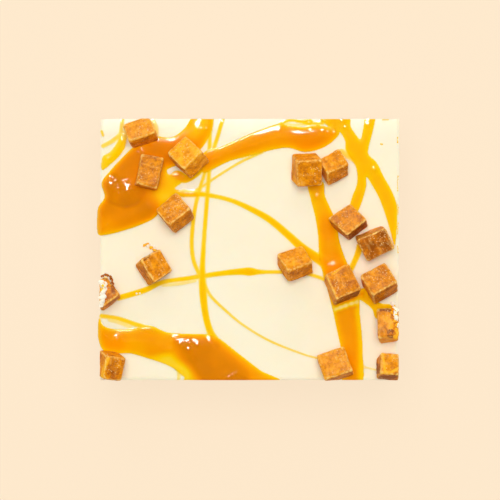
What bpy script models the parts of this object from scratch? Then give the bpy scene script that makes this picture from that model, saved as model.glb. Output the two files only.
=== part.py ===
"""A blondie slice: a baked body under white chocolate, with poured caramel and fudge pieces on top.

Run it with: blender --background --python part.py

Lengths and places are millimetres in the slice's own frame, and MM turns them into Blender's
metres. The origin is the middle of the underside, +X runs along the long side, +Y across it to
the far edge, and +Z is up. Angles are degrees, counted anticlockwise from +X seen from above.
"""

import math
import random
from dataclasses import dataclass

import bmesh
import bpy
from mathutils import Matrix, Vector, noise
from mathutils.geometry import delaunay_2d_cdt

MM = 0.001

# The slice: its body is a little larger in plan than the chocolate, and carries it across a fine gap.
SLICE_LENGTH = 80.4
SLICE_WIDTH = 70.2
BODY_HEIGHT = 22.0
CHOCOLATE_THICKNESS = 4.0
GAP = 0.3
CHOCOLATE_BASE = BODY_HEIGHT + GAP
TOP = CHOCOLATE_BASE + CHOCOLATE_THICKNESS

# The chocolate's corners, from the near left one anticlockwise, and how far its cuts stray.
CHOCOLATE_CORNERS = [(-39.7, -34.8), (39.6, -34.8), (40.1, 34.8), (-39.5, 34.8)]
CUT_STEP = 6.0
CUT_WOBBLE = 0.15
CUT_WAVE = 6.0

# The body's knife-cut walls: how far in the broad hollows and the small crags of the crumb go, and
# how far apart they lie. Each level gives a height and how far the wall is drawn in there.
BODY_STEP = 2.8
BODY_CORNER = 1.2
HOLLOW_DEPTH = 0.35
HOLLOW_SPACING = 8.0
CRAG_DEPTH = 0.3
CRAG_SPACING = 3.2
BODY_LEVELS = [
    (0.0, 1.3),
    (0.5, 0.5),
    (1.5, 0.1),
    (4.0, 0.0),
    (7.0, 0.0),
    (10.0, 0.0),
    (13.0, 0.0),
    (16.0, 0.0),
    (19.0, 0.0),
    (21.0, 0.0),
    (BODY_HEIGHT, 0.15),
]

# Caramel: how deep its solids reach into the chocolate, the height of its steep rim, and how far in
# from the rim a pool takes to rise to its full height.
CARAMEL_ROOT = 0.4
CARAMEL_RIM = 0.12
POOL_RISE = 2.4
POOL_RIM_RINGS = (0.45, 1.3)
POOL_STEP = 1.7
POOL_INNER_STEP = 2.7
STRAND_STEP = 1.6
STRAND_HEIGHT_PER_WIDTH = 0.36
STRAND_MOST_HEIGHT = 0.8

# A drip over the left cut: how far it reaches in, and how high it stands above the chocolate.
DRIP_ROOT = 1.6
DRIP_CREST = 0.75

FUDGE_DEPTH = 6.3
FUDGE_BEVEL = 0.5
FUDGE_UNEVEN = 0.28
FUDGE_SEED = 100
FUDGE_CLEARANCE = 0.35
# Pieces at the rim were cut through with the slice, along these planes.
LEFT_CUT = -39.6
RIGHT_CUT = 39.7
SIDE_CUT = 34.8
KNIFE_CUTS = [
    (Vector((LEFT_CUT, 0, 0)), Vector((-1, 0, 0))),
    (Vector((RIGHT_CUT, 0, 0)), Vector((1, 0, 0))),
    (Vector((0, -SIDE_CUT, 0)), Vector((0, -1, 0))),
    (Vector((0, SIDE_CUT, 0)), Vector((0, 1, 0))),
]


@dataclass(frozen=True)
class Pool:
    """A wide run of caramel: its outline, anticlockwise or clockwise, and its height."""

    name: str
    height: float
    outline: tuple


@dataclass(frozen=True)
class Strand:
    """A thin run of caramel: its route, as x, y and width at each point."""

    name: str
    route: tuple


@dataclass(frozen=True)
class Swell:
    """A rounded heap in a pool: its middle, radius and extra height."""

    x: float
    y: float
    radius: float
    height: float


@dataclass(frozen=True)
class Drip:
    """Caramel that ran over the left edge: its middle along Y, half-width, and drop."""

    name: str
    y: float
    half_width: float
    drop: float
    proud: float


@dataclass(frozen=True)
class Fudge:
    """A fudge piece: the middle of its top face, its sides, and how it lies.

    It is turned about Z, then leans by an angle towards a direction, with its lowest corner sunk in
    the chocolate.
    """

    number: int
    x: float
    y: float
    length: float
    width: float
    turn: float
    lean: float
    toward: float
    sunk: float = 1.4


POOLS = [
    Pool("far_left_pool", 1.3, (
        (-14.7, 35.6), (-17.1, 32.4), (-20.5, 30.0), (-25.1, 29.9), (-30.4, 27.6), (-33.9, 24.4),
        (-37.1, 20.9), (-39.3, 17.7), (-38.5, 14.0), (-40.3, 11.1), (-40.6, 7.3), (-40.3, 4.1),
        (-38.1, 3.9), (-33.9, 4.9), (-29.1, 6.5), (-24.8, 8.8), (-22.9, 12.9), (-22.7, 17.2),
        (-21.9, 21.2), (-16.8, 23.3), (-13.1, 26.5), (-11.2, 29.2), (-9.9, 32.1), (-9.9, 35.6),
    )),
    Pool("far_left_skirt", 0.6, (
        (-24.3, 19.1), (-21.1, 19.7), (-18.7, 18.3), (-16.8, 16.0), (-13.6, 15.6), (-13.1, 14.0),
        (-17.3, 13.9), (-20.5, 14.1), (-23.7, 12.4),
    )),
    Pool("far_leaf", 0.5, (
        (-33.9, 29.2), (-34.1, 26.5), (-35.2, 24.4), (-37.1, 22.5), (-39.2, 21.3), (-39.1, 24.8),
        (-37.1, 26.1), (-35.2, 28.7),
    )),
    Pool("far_band", 1.1, (
        (-12.3, 25.5), (-7.7, 27.3), (-2.4, 29.7), (2.9, 31.6), (8.3, 33.3), (13.6, 34.1),
        (18.9, 33.6), (24.0, 31.6), (22.4, 28.9), (18.9, 26.8), (14.7, 26.0), (10.4, 27.1),
        (5.1, 26.3), (-0.3, 24.9), (-5.1, 23.6), (-10.1, 21.2), (-12.3, 20.7),
    )),
    Pool("far_right_fork", 0.9, (
        (19.2, 35.6), (26.4, 35.6), (27.2, 32.7), (29.6, 29.5), (30.4, 32.1), (31.2, 35.6),
        (33.6, 35.6), (33.1, 31.9), (31.9, 27.1), (32.0, 25.2), (34.1, 23.1), (36.0, 19.3),
        (37.9, 15.9), (39.4, 11.9), (39.5, 7.3), (38.9, 0.9), (37.9, 4.1), (36.5, 8.9),
        (34.7, 13.7), (32.8, 17.2), (31.3, 19.3), (31.2, 16.7), (30.1, 12.7), (28.8, 10.0),
        (26.9, 11.1), (27.6, 14.3), (28.8, 17.7), (28.5, 22.0), (26.0, 26.3), (25.6, 28.9),
        (24.0, 31.6), (21.1, 32.9),
    )),
    Pool("right_band", 1.15, (
        (15.7, 18.0), (19.7, 18.0), (20.3, 14.3), (21.9, 10.5), (23.5, 6.8), (24.0, 2.8),
        (25.3, -1.5), (27.5, -6.8), (29.3, -12.1), (29.6, -17.5), (30.1, -22.8), (30.4, -29.5),
        (30.1, -35.6), (24.8, -35.6), (25.6, -31.6), (24.5, -26.3), (23.5, -21.7), (22.4, -16.7),
        (21.1, -11.3), (19.5, -5.5), (18.7, -0.7), (18.4, 3.9), (17.6, 8.9), (16.5, 13.2),
    )),
    Pool("right_skirt", 0.6, (
        (28.5, -12.4), (30.7, -10.3), (34.4, -14.0), (38.1, -14.8), (38.1, -16.7), (34.1, -18.5),
        (32.8, -15.9), (30.7, -14.1),
    )),
    Pool("near_left_band", 1.25, (
        (-40.0, -18.5), (-38.7, -20.4), (-36.0, -21.2), (-31.7, -21.3), (-26.4, -20.5),
        (-21.6, -22.1), (-15.7, -22.5), (-11.2, -22.7), (-7.5, -24.1), (-2.4, -28.0),
        (2.9, -32.1), (8.0, -35.6), (-15.2, -35.6), (-17.3, -34.0), (-19.5, -32.1),
        (-22.1, -30.7), (-26.4, -29.2), (-31.7, -27.7), (-35.2, -27.7), (-38.9, -26.8),
        (-40.3, -23.1),
    )),
]

SWELLS = [
    Swell(-34.6, 16.0, 4.6, 1.3),
    Swell(-29.6, 14.6, 5.0, 0.5),
    Swell(-14.0, -27.0, 6.0, 0.9),
    Swell(16.0, 30.0, 6.0, 0.3),
    Swell(21.8, 1.5, 4.0, 0.3),
]

STRANDS = [
    Strand("arc", (
        (-17.3, 15.1, 1.9), (-10.9, 14.5, 1.3), (-5.1, 13.2, 1.3), (0.3, 10.9, 1.6),
        (5.6, 7.9, 1.9), (10.4, 3.9, 2.1), (14.4, 0.3, 2.4), (19.7, -3.3, 2.7),
    )),
    Strand("crosswise", (
        (-34.7, -12.9, 1.6), (-27.7, -10.8, 1.6), (-22.9, -8.7, 1.3), (-15.7, -7.6, 1.3),
        (-7.7, -6.4, 1.5), (-2.4, -5.9, 1.9), (0.3, -5.9, 2.3), (3.5, -6.0, 1.3),
        (9.6, -6.0, 1.1), (15.7, -6.5, 1.1), (21.1, -8.4, 0.9),
    )),
    Strand("lengthwise", (
        (-10.4, 35.6, 1.1), (-10.5, 27.9, 1.1), (-10.7, 19.9, 1.1), (-11.2, 13.2, 1.2),
        (-12.0, 2.5, 1.3), (-12.4, -4.9, 1.6), (-12.3, -10.8, 2.1), (-11.7, -16.7, 1.9),
        (-10.4, -21.7, 1.9), (-8.3, -25.2, 2.1),
    )),
    Strand("second_lengthwise", (
        (-6.8, 35.6, 1.1), (-8.8, 28.7, 1.1), (-11.7, 20.7, 0.9), (-14.1, 12.4, 1.1),
        (-15.1, 5.2, 1.2), (-15.2, -0.1, 1.2), (-14.4, -4.1, 1.2), (-12.3, -8.1, 1.1),
    )),
    Strand("fine_arc", (
        (-12.5, -7.3, 0.9), (-10.4, -12.1, 0.9), (-6.1, -16.4, 0.8), (-1.3, -20.3, 0.7),
        (5.6, -24.4, 0.7), (14.4, -27.9, 0.6), (18.9, -29.1, 0.6),
    )),
    Strand("feeder", (
        (3.5, 26.0, 0.8), (-2.4, 23.2, 0.7), (-7.7, 20.0, 0.7), (-11.7, 17.3, 0.7), (-15.2, 15.1, 0.8),
    )),
    Strand("left_edge", (
        (-39.3, -17.7, 1.2), (-34.9, -18.4, 1.2), (-30.4, -19.9, 1.3), (-25.3, -21.5, 1.3),
    )),
    Strand("far_corner", ((-33.6, 35.6, 1.1), (-34.0, 32.4, 1.1), (-34.4, 29.2, 1.1))),
    Strand("far_corner_cross", ((-33.6, 31.1, 1.2), (-36.5, 28.9, 1.2), (-38.9, 27.6, 1.2))),
    Strand("right_leg", ((29.6, 0.9, 1.9), (28.8, -1.7, 1.7), (27.2, -5.2, 1.5))),
]

DRIPS = [
    Drip("far_left_drip", 7.6, 5.2, 3.0, 1.0),
    Drip("near_left_drip", -22.0, 3.6, 2.2, 0.8),
]

FUDGE_PIECES = [
    Fudge(1, -28.7, 32.1, 6.7, 5.2, 20, 20, 104, 1.8),
    Fudge(2, -26.2, 20.9, 5.8, 7.8, -12, 7, 63, 2.4),
    Fudge(3, -17.2, 25.9, 6.6, 6.5, 47, 30, 121),
    Fudge(4, -20.2, 10.8, 7.0, 6.3, 41, 26, 119),
    Fudge(5, -24.4, -4.2, 6.3, 6.9, 33, 22, 30),
    Fudge(6, -38.6, -11.2, 6.4, 6.4, 38, 12, 90),
    Fudge(7, -35.7, -31.6, 5.6, 6.6, -10, 24, -27),
    Fudge(8, 16.4, 20.4, 6.2, 6.6, 2, 22, -58),
    Fudge(9, 22.9, 23.6, 6.2, 5.1, 28, 28, 96),
    Fudge(10, 26.6, 8.1, 6.6, 6.2, 42, 17, 112, 1.7),
    Fudge(11, 34.0, 1.2, 7.6, 6.4, 25, 9, -72),
    Fudge(12, 12.4, -1.9, 6.0, 5.9, 25, 31, 93),
    Fudge(13, 24.9, -8.4, 7.2, 7.6, 24, 18, 82, 1.7),
    Fudge(14, 34.1, -7.9, 7.1, 6.3, 30, 25, 108),
    Fudge(15, 37.2, -19.0, 6.2, 7.2, 4, 14, 100),
    Fudge(16, 38.1, -30.3, 6.6, 5.8, -4, 20, 63),
    Fudge(17, 22.1, -30.2, 7.1, 6.7, 20, 14, 112),
]


def clear_scene():
    """Removes every object of the open scene."""
    for obj in list(bpy.data.objects):
        bpy.data.objects.remove(obj, do_unlink=True)


def principled(name, srgb_hex, roughness):
    """A Principled BSDF material in one colour."""
    material = bpy.data.materials.new(name)
    material.use_nodes = True
    channels = [int(srgb_hex[i : i + 2], 16) / 255 for i in (0, 2, 4)]
    linear = [c / 12.92 if c <= 0.04045 else ((c + 0.055) / 1.055) ** 2.4 for c in channels]
    shader = material.node_tree.nodes["Principled BSDF"]
    shader.inputs["Base Color"].default_value = (*linear, 1.0)
    shader.inputs["Roughness"].default_value = roughness
    shader.inputs["Metallic"].default_value = 0.0
    material.diffuse_color = (*linear, 1.0)
    return material


def new_object(name, bm, material=None):
    """An object of this mesh, which is in millimetres, with its faces turned outwards."""
    bmesh.ops.recalc_face_normals(bm, faces=bm.faces)
    bmesh.ops.scale(bm, vec=(MM, MM, MM), verts=bm.verts)
    mesh = bpy.data.meshes.new(name)
    bm.to_mesh(mesh)
    bm.free()
    if material:
        mesh.materials.append(material)
    obj = bpy.data.objects.new(name, mesh)
    bpy.context.scene.collection.objects.link(obj)
    return obj


def spline(points, spacing, closed):
    """Points a spacing apart in plan along the Catmull-Rom curve through these."""
    knots = [Vector(p) for p in points]
    count = len(knots)
    spans = count if closed else count - 1
    path = []
    for i in range(spans):
        if closed:
            a, b, c, d = (knots[(i + k) % count] for k in (-1, 0, 1, 2))
        else:
            a, b, c, d = (knots[min(max(i + k, 0), count - 1)] for k in (-1, 0, 1, 2))
        steps = max(1, round((c - b).xy.length / spacing))
        for k in range(steps):
            t = k / steps
            square = (2 * a - 5 * b + 4 * c - d) * t**2
            cube = (3 * b - a - 3 * c + d) * t**3
            path.append(0.5 * (2 * b + (c - a) * t + square + cube))
    if not closed:
        path.append(knots[-1])
    return path


def rim_distance(point, outline):
    """How far a point is from a closed outline."""
    nearest = math.inf
    for start, end in zip(outline, outline[1:] + outline[:1]):
        along = end - start
        t = min(max((point - start).dot(along) / along.length_squared, 0.0), 1.0)
        nearest = min(nearest, (point - start - along * t).length)
    return nearest


def inside(point, outline):
    """Whether a point is inside a closed outline."""
    found = False
    for a, b in zip(outline, outline[1:] + outline[:1]):
        if (a.y > point.y) != (b.y > point.y):
            if point.x < a.x + (b.x - a.x) * (point.y - a.y) / (b.y - a.y):
                found = not found
    return found


def signed_area(outline):
    """The outline's area, which is above zero where it runs anticlockwise."""
    return sum(a.cross(b) for a, b in zip(outline, outline[1:] + outline[:1])) / 2


def wavering_side(start, end, step, wobble):
    """Points along a knife cut from start to just before end, straying a little to either side."""
    along = Vector(end) - Vector(start)
    across = Vector((-along.y, along.x)).normalized()
    steps = max(2, round(along.length / step))
    side = []
    for k in range(steps):
        point = Vector(start) + along * (k / steps)
        if k:
            point += across * wobble * noise.noise(Vector((point.x, point.y, 0.0)) / CUT_WAVE)
        side.append(point)
    return side


def wavering_outline(corners, step, wobble):
    """A closed outline through these corners, each side a wavering cut."""
    outline = []
    for start, end in zip(corners, corners[1:] + corners[:1]):
        outline += wavering_side(start, end, step, wobble)
    return outline


def chamfered(corners, cut):
    """The corners of a polygon with each one cut off."""
    points = [Vector(c) for c in corners]
    found = []
    for before, corner, after in zip(points[-1:] + points[:-1], points, points[1:] + points[:1]):
        found.append(corner + (before - corner).normalized() * cut)
        found.append(corner + (after - corner).normalized() * cut)
    return found


def prism(outline, low, high):
    """A closed wall round an outline, with flat ends."""
    bm = bmesh.new()
    rings = [[bm.verts.new((p.x, p.y, z)) for p in outline] for z in (low, high)]
    join_rings(bm, rings)
    return bm


def join_rings(bm, rings):
    """Walls between rings of as many vertices, and a face over the first ring and the last."""
    for lower, upper in zip(rings, rings[1:]):
        for i in range(len(lower)):
            j = (i + 1) % len(lower)
            bm.faces.new((lower[i], lower[j], upper[j], upper[i]))
    bm.faces.new(rings[0][::-1])
    bm.faces.new(rings[-1])


def wall_dent(place):
    """How far in the crumb lies at a place on the body's wall."""
    hollow = 0.5 + 0.5 * noise.noise(place / HOLLOW_SPACING)
    crag = 0.5 + 0.5 * noise.noise(place / CRAG_SPACING)
    return HOLLOW_DEPTH * hollow + CRAG_DEPTH * crag


def make_body(material):
    """The baked body: knife-cut walls with a gentle unevenness, and a softer lower edge."""
    half_length = SLICE_LENGTH / 2
    half_width = SLICE_WIDTH / 2
    corners = [(-half_length, -half_width), (half_length, -half_width),
               (half_length, half_width), (-half_length, half_width)]
    outline = wavering_outline(chamfered(corners, BODY_CORNER), BODY_STEP, 0.0)
    bm = bmesh.new()
    rings = []
    for level, inset in BODY_LEVELS:
        ring = []
        for p in outline:
            drawn_in = inset + wall_dent(Vector((p.x, p.y, level)))
            along = p.x * (1 - drawn_in / half_length)
            across = p.y * (1 - drawn_in / half_width)
            ring.append(bm.verts.new((along, across, level)))
        rings.append(ring)
    join_rings(bm, rings)
    return new_object("blondie_body", bm, material)


def pool_height(point, pool, outline):
    """A pool's height above the chocolate: a steep rim, a rounded shoulder, and any swell."""
    rise = min(rim_distance(point, outline) / POOL_RISE, 1.0)
    shoulder = math.sqrt(1 - (1 - rise) ** 2)
    height = CARAMEL_RIM + (pool.height - CARAMEL_RIM) * shoulder
    for swell in SWELLS:
        off = (point - Vector((swell.x, swell.y))).length / swell.radius
        if off < 1:
            height += swell.height * shoulder * (1 - off**2) ** 2
    return height


def pool_points(outline):
    """The outline, rings just inside it, and a spread of points over the middle."""
    points = list(outline)
    turn = 1 if signed_area(outline) > 0 else -1
    for reach in POOL_RIM_RINGS:
        for before, here, after in zip(outline[-1:] + outline[:-1], outline, outline[1:] + outline[:1]):
            along = (after - before).normalized()
            point = here + Vector((-along.y, along.x)) * turn * reach
            if inside(point, outline) and rim_distance(point, outline) > 0.9 * reach:
                points.append(point)
    low = Vector((min(p.x for p in outline), min(p.y for p in outline)))
    high = Vector((max(p.x for p in outline), max(p.y for p in outline)))
    rows = int((high.y - low.y) / POOL_INNER_STEP) + 1
    columns = int((high.x - low.x) / POOL_INNER_STEP) + 1
    clear_of_rings = POOL_RIM_RINGS[-1] + 0.5 * POOL_INNER_STEP
    for row in range(rows):
        for column in range(columns):
            shift = 0.5 * (row % 2)
            point = low + Vector((column + shift, row)) * POOL_INNER_STEP
            if inside(point, outline) and rim_distance(point, outline) > clear_of_rings:
                points.append(point)
    return points


def make_pool(pool):
    """A closed solid of one pool, rooted in the chocolate."""
    outline = spline(pool.outline, POOL_STEP, closed=True)
    if signed_area(outline) < 0:
        outline.reverse()
    points = pool_points(outline)
    rim = list(range(len(outline)))
    flat, _, faces, *_ = delaunay_2d_cdt(points, [], [rim], 1, 1e-5)
    bm = bmesh.new()
    upper = [bm.verts.new((p.x, p.y, TOP + pool_height(p, pool, outline))) for p in flat]
    for face in faces:
        bm.faces.new([upper[i] for i in face])
    edge = [e for e in bm.edges if e.is_boundary]
    wall = bmesh.ops.extrude_edge_only(bm, edges=edge)["geom"]
    for vert in (g for g in wall if isinstance(g, bmesh.types.BMVert)):
        vert.co.z = TOP - CARAMEL_ROOT
    bmesh.ops.contextual_create(bm, geom=[g for g in wall if isinstance(g, bmesh.types.BMEdge)])
    return new_object(pool.name, bm)


def make_strand(strand):
    """A closed solid of one strand: a low dome swept along its route."""
    path = spline(strand.route, STRAND_STEP, closed=False)
    bm = bmesh.new()
    rings = []
    for i, station in enumerate(path):
        ahead = path[min(i + 1, len(path) - 1)]
        behind = path[max(i - 1, 0)]
        along = (ahead - behind).xy.normalized()
        across = Vector((-along.y, along.x))
        width = station.z
        height = min(STRAND_HEIGHT_PER_WIDTH * width, STRAND_MOST_HEIGHT)
        section = [(-0.5, -CARAMEL_ROOT), (0.5, -CARAMEL_ROOT), (0.5, CARAMEL_RIM), (0.3, 0.75 * height),
                   (0.0, height), (-0.3, 0.75 * height), (-0.5, CARAMEL_RIM)]
        ring = []
        for side, up in section:
            place = station.xy + across * side * width
            ring.append(bm.verts.new((place.x, place.y, TOP + up)))
        rings.append(ring)
    join_rings(bm, rings)
    return new_object(strand.name, bm)


def make_drip(drip):
    """A closed solid of caramel that hangs over the left edge, no lower than the chocolate."""
    bm = bmesh.new()
    bmesh.ops.create_uvsphere(bm, u_segments=14, v_segments=9, radius=1.0)
    half_height = (drip.drop + DRIP_CREST) / 2
    middle = Vector((LEFT_CUT + DRIP_ROOT, drip.y, TOP + DRIP_CREST - half_height))
    bmesh.ops.scale(bm, vec=(DRIP_ROOT + drip.proud, drip.half_width, half_height), verts=bm.verts)
    bmesh.ops.translate(bm, vec=middle, verts=bm.verts)
    floor = CHOCOLATE_BASE + 0.2
    cut = bmesh.ops.bisect_plane(bm, geom=bm.verts[:] + bm.edges[:] + bm.faces[:],
                                 plane_co=(0, 0, floor), plane_no=(0, 0, -1), clear_outer=True)
    rim = [g for g in cut["geom_cut"] if isinstance(g, bmesh.types.BMEdge)]
    if rim:
        bmesh.ops.contextual_create(bm, geom=rim)
    return new_object(drip.name, bm)


def collect(name, objects):
    """A collection of helper objects, for one Boolean."""
    group = bpy.data.collections.new(name)
    bpy.context.scene.collection.children.link(group)
    for obj in objects:
        bpy.context.scene.collection.objects.unlink(obj)
        group.objects.link(obj)
    return group


def apply_boolean(obj, operation, group):
    """Applies one Boolean with a collection, and removes the collection with its objects."""
    modifier = obj.modifiers.new(operation.lower(), "BOOLEAN")
    modifier.operation = operation
    modifier.operand_type = "COLLECTION"
    modifier.collection = group
    modifier.solver = "EXACT"
    bpy.context.view_layer.update()
    graph = bpy.context.evaluated_depsgraph_get()
    result = bpy.data.meshes.new_from_object(obj.evaluated_get(graph))
    obj.modifiers.remove(modifier)
    spent = obj.data
    obj.data = result
    result.name = obj.name
    bpy.data.meshes.remove(spent)
    for helper in list(group.objects):
        bpy.data.objects.remove(helper, do_unlink=True)
    bpy.data.collections.remove(group)


def fudge_corners(piece, grown):
    """The eight corners of a piece about its own middle, a little uneven, and grown all round."""
    draw = random.Random(FUDGE_SEED + piece.number)
    half = Vector((piece.length, piece.width, FUDGE_DEPTH)) / 2 + Vector((grown, grown, grown))
    corners = []
    for up in (-1, 1):
        for right, back in ((-1, -1), (1, -1), (1, 1), (-1, 1)):
            stray = Vector([draw.uniform(-FUDGE_UNEVEN, FUDGE_UNEVEN) for _ in range(3)])
            corners.append(Vector((right * half.x, back * half.y, up * half.z)) + stray)
    return corners


def fudge_pose(piece):
    """The matrix that lays a piece down: the same for the piece and for its pocket."""
    toward = math.radians(piece.toward)
    axis = Vector((-math.sin(toward), math.cos(toward), 0))
    turn = Matrix.Rotation(math.radians(piece.turn), 4, "Z")
    lean = Matrix.Rotation(math.radians(piece.lean), 4, axis)
    corners = [lean @ turn @ corner for corner in fudge_corners(piece, 0.0)]
    top_middle = sum(corners[4:], Vector()) / 4
    lowest = min(corner.z for corner in corners)
    shift = Vector((piece.x - top_middle.x, piece.y - top_middle.y, TOP - piece.sunk - lowest))
    return Matrix.Translation(shift) @ lean @ turn


def fudge_box(piece, grown):
    """A mesh of the piece's eight corners, in place."""
    bm = bmesh.new()
    pose = fudge_pose(piece)
    corners = [bm.verts.new(pose @ c) for c in fudge_corners(piece, grown)]
    for face in ((0, 3, 2, 1), (4, 5, 6, 7), (0, 1, 5, 4), (1, 2, 6, 5), (2, 3, 7, 6), (3, 0, 4, 7)):
        bm.faces.new([corners[i] for i in face])
    return bm


def cut_at_edges(bm):
    """Cuts away what stands past the slice's knife-cut sides, and closes each cut."""
    for point, outward in KNIFE_CUTS:
        geometry = bm.verts[:] + bm.edges[:] + bm.faces[:]
        cut = bmesh.ops.bisect_plane(bm, geom=geometry, plane_co=point, plane_no=outward, clear_outer=True)
        rim = [g for g in cut["geom_cut"] if isinstance(g, bmesh.types.BMEdge)]
        if rim:
            bmesh.ops.contextual_create(bm, geom=rim)


def make_fudge(piece, material):
    """One fudge piece, its edges rounded, cut through where it lay on the slice's edge."""
    bm = fudge_box(piece, 0.0)
    bmesh.ops.bevel(bm, geom=bm.edges[:], offset=FUDGE_BEVEL, segments=2, profile=0.5, affect="EDGES")
    cut_at_edges(bm)
    return new_object(f"fudge_{piece.number:02d}", bm, material)


def make_pocket(piece):
    """The helper that keeps the topping clear of a fudge piece."""
    return new_object(f"pocket_{piece.number:02d}", fudge_box(piece, FUDGE_CLEARANCE))


def make_topping(material):
    """White chocolate with the caramel fused on, trimmed at the cuts, with a pocket round each piece."""
    outline = wavering_outline(CHOCOLATE_CORNERS, CUT_STEP, CUT_WOBBLE)
    topping = new_object("white_chocolate_topping", prism(outline, CHOCOLATE_BASE, TOP), material)
    caramel = [make_pool(pool) for pool in POOLS] + [make_strand(strand) for strand in STRANDS]
    apply_boolean(topping, "UNION", collect("caramel", caramel))
    near_left, near_right, far_right, far_left = (Vector(corner) for corner in CHOCOLATE_CORNERS)
    past_the_left = Vector((-5, 0))
    kept = [near_left + past_the_left, near_right, far_right, far_left + past_the_left]
    block = new_object("knife_block", prism(kept, CHOCOLATE_BASE - 5, TOP + 5))
    apply_boolean(topping, "INTERSECT", collect("knife", [block]))
    apply_boolean(topping, "UNION", collect("drips", [make_drip(drip) for drip in DRIPS]))
    apply_boolean(topping, "DIFFERENCE", collect("pockets", [make_pocket(piece) for piece in FUDGE_PIECES]))
    return topping


def main():
    clear_scene()
    make_body(principled("baked_crumb", "D9A45C", 0.85))
    make_topping(principled("white_chocolate", "FDF0D6", 0.4))
    fudge = principled("fudge", "D68F3F", 0.6)
    for piece in FUDGE_PIECES:
        make_fudge(piece, fudge)


main()
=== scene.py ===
"""The looks of the blondie slice: its fine shapes and finishes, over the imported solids.

Lengths and places are millimetres in the slice's own frame, as in its solids, and MM turns them into
Blender's metres. The origin is the middle of the underside, +X runs along the long side, +Y across
the slice to the far edge, and +Z is up.
"""

from __future__ import annotations

import logging
import math
import random
from dataclasses import dataclass, field
from enum import Enum

import bpy
import numpy as np
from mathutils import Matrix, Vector, kdtree, noise

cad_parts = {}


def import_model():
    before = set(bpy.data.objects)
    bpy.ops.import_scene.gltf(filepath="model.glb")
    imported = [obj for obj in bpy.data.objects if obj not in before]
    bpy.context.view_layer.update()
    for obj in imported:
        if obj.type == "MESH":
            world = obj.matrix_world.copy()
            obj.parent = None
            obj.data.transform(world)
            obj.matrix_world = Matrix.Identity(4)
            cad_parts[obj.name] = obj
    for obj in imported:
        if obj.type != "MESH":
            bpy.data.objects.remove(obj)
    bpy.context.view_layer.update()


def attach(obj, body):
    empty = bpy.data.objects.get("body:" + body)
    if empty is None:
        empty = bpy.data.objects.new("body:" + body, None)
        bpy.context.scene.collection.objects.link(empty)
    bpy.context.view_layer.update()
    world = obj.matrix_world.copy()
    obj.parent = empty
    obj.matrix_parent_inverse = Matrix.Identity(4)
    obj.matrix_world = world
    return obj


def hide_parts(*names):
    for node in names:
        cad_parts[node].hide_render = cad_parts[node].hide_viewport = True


LOG = logging.getLogger("blondie_slice")
MM = 0.001

# The Mix node's sockets for colours, by number, because its other sockets share their names.
MIX_A = 6
MIX_B = 7
MIX_RESULT = 2

# The slice: the height of its chocolate, and the chocolate's corners, from the near left one round.
CHOCOLATE_BASE = 22.3
TOP = 26.3
LEFT_CUT = -39.6
SIDE_CUT = 34.8
CHOCOLATE_CORNERS = ((-39.7, -34.8), (39.6, -34.8), (40.1, 34.8), (-39.5, 34.8))


class Slot(Enum):
    """The record's material slots."""

    CRUMB = "baked_crumb"
    CHOCOLATE = "white_chocolate"
    CARAMEL = "caramel"
    FUDGE = "fudge"


@dataclass(frozen=True)
class Pool:
    """A wide run of caramel: its height, its depth of colour and its outline in plan."""

    name: str
    height: float
    depth: float
    outline: tuple


@dataclass(frozen=True)
class Strand:
    """A thin run of caramel: its route, as x, y and width at each point, and how full it is."""

    name: str
    route: tuple
    fullness: float = 1.0


@dataclass(frozen=True)
class Swell:
    """A rounded swell in a pool, or a hollow: how much it adds to the height and to the depth."""

    x: float
    y: float
    radius: float
    height: float
    depth: float = 0.0


@dataclass(frozen=True)
class Heap:
    """A second flow on top of a pool: its extra height and depth, how far in it rises, its outline."""

    height: float
    depth: float
    rise: float
    outline: tuple


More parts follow.
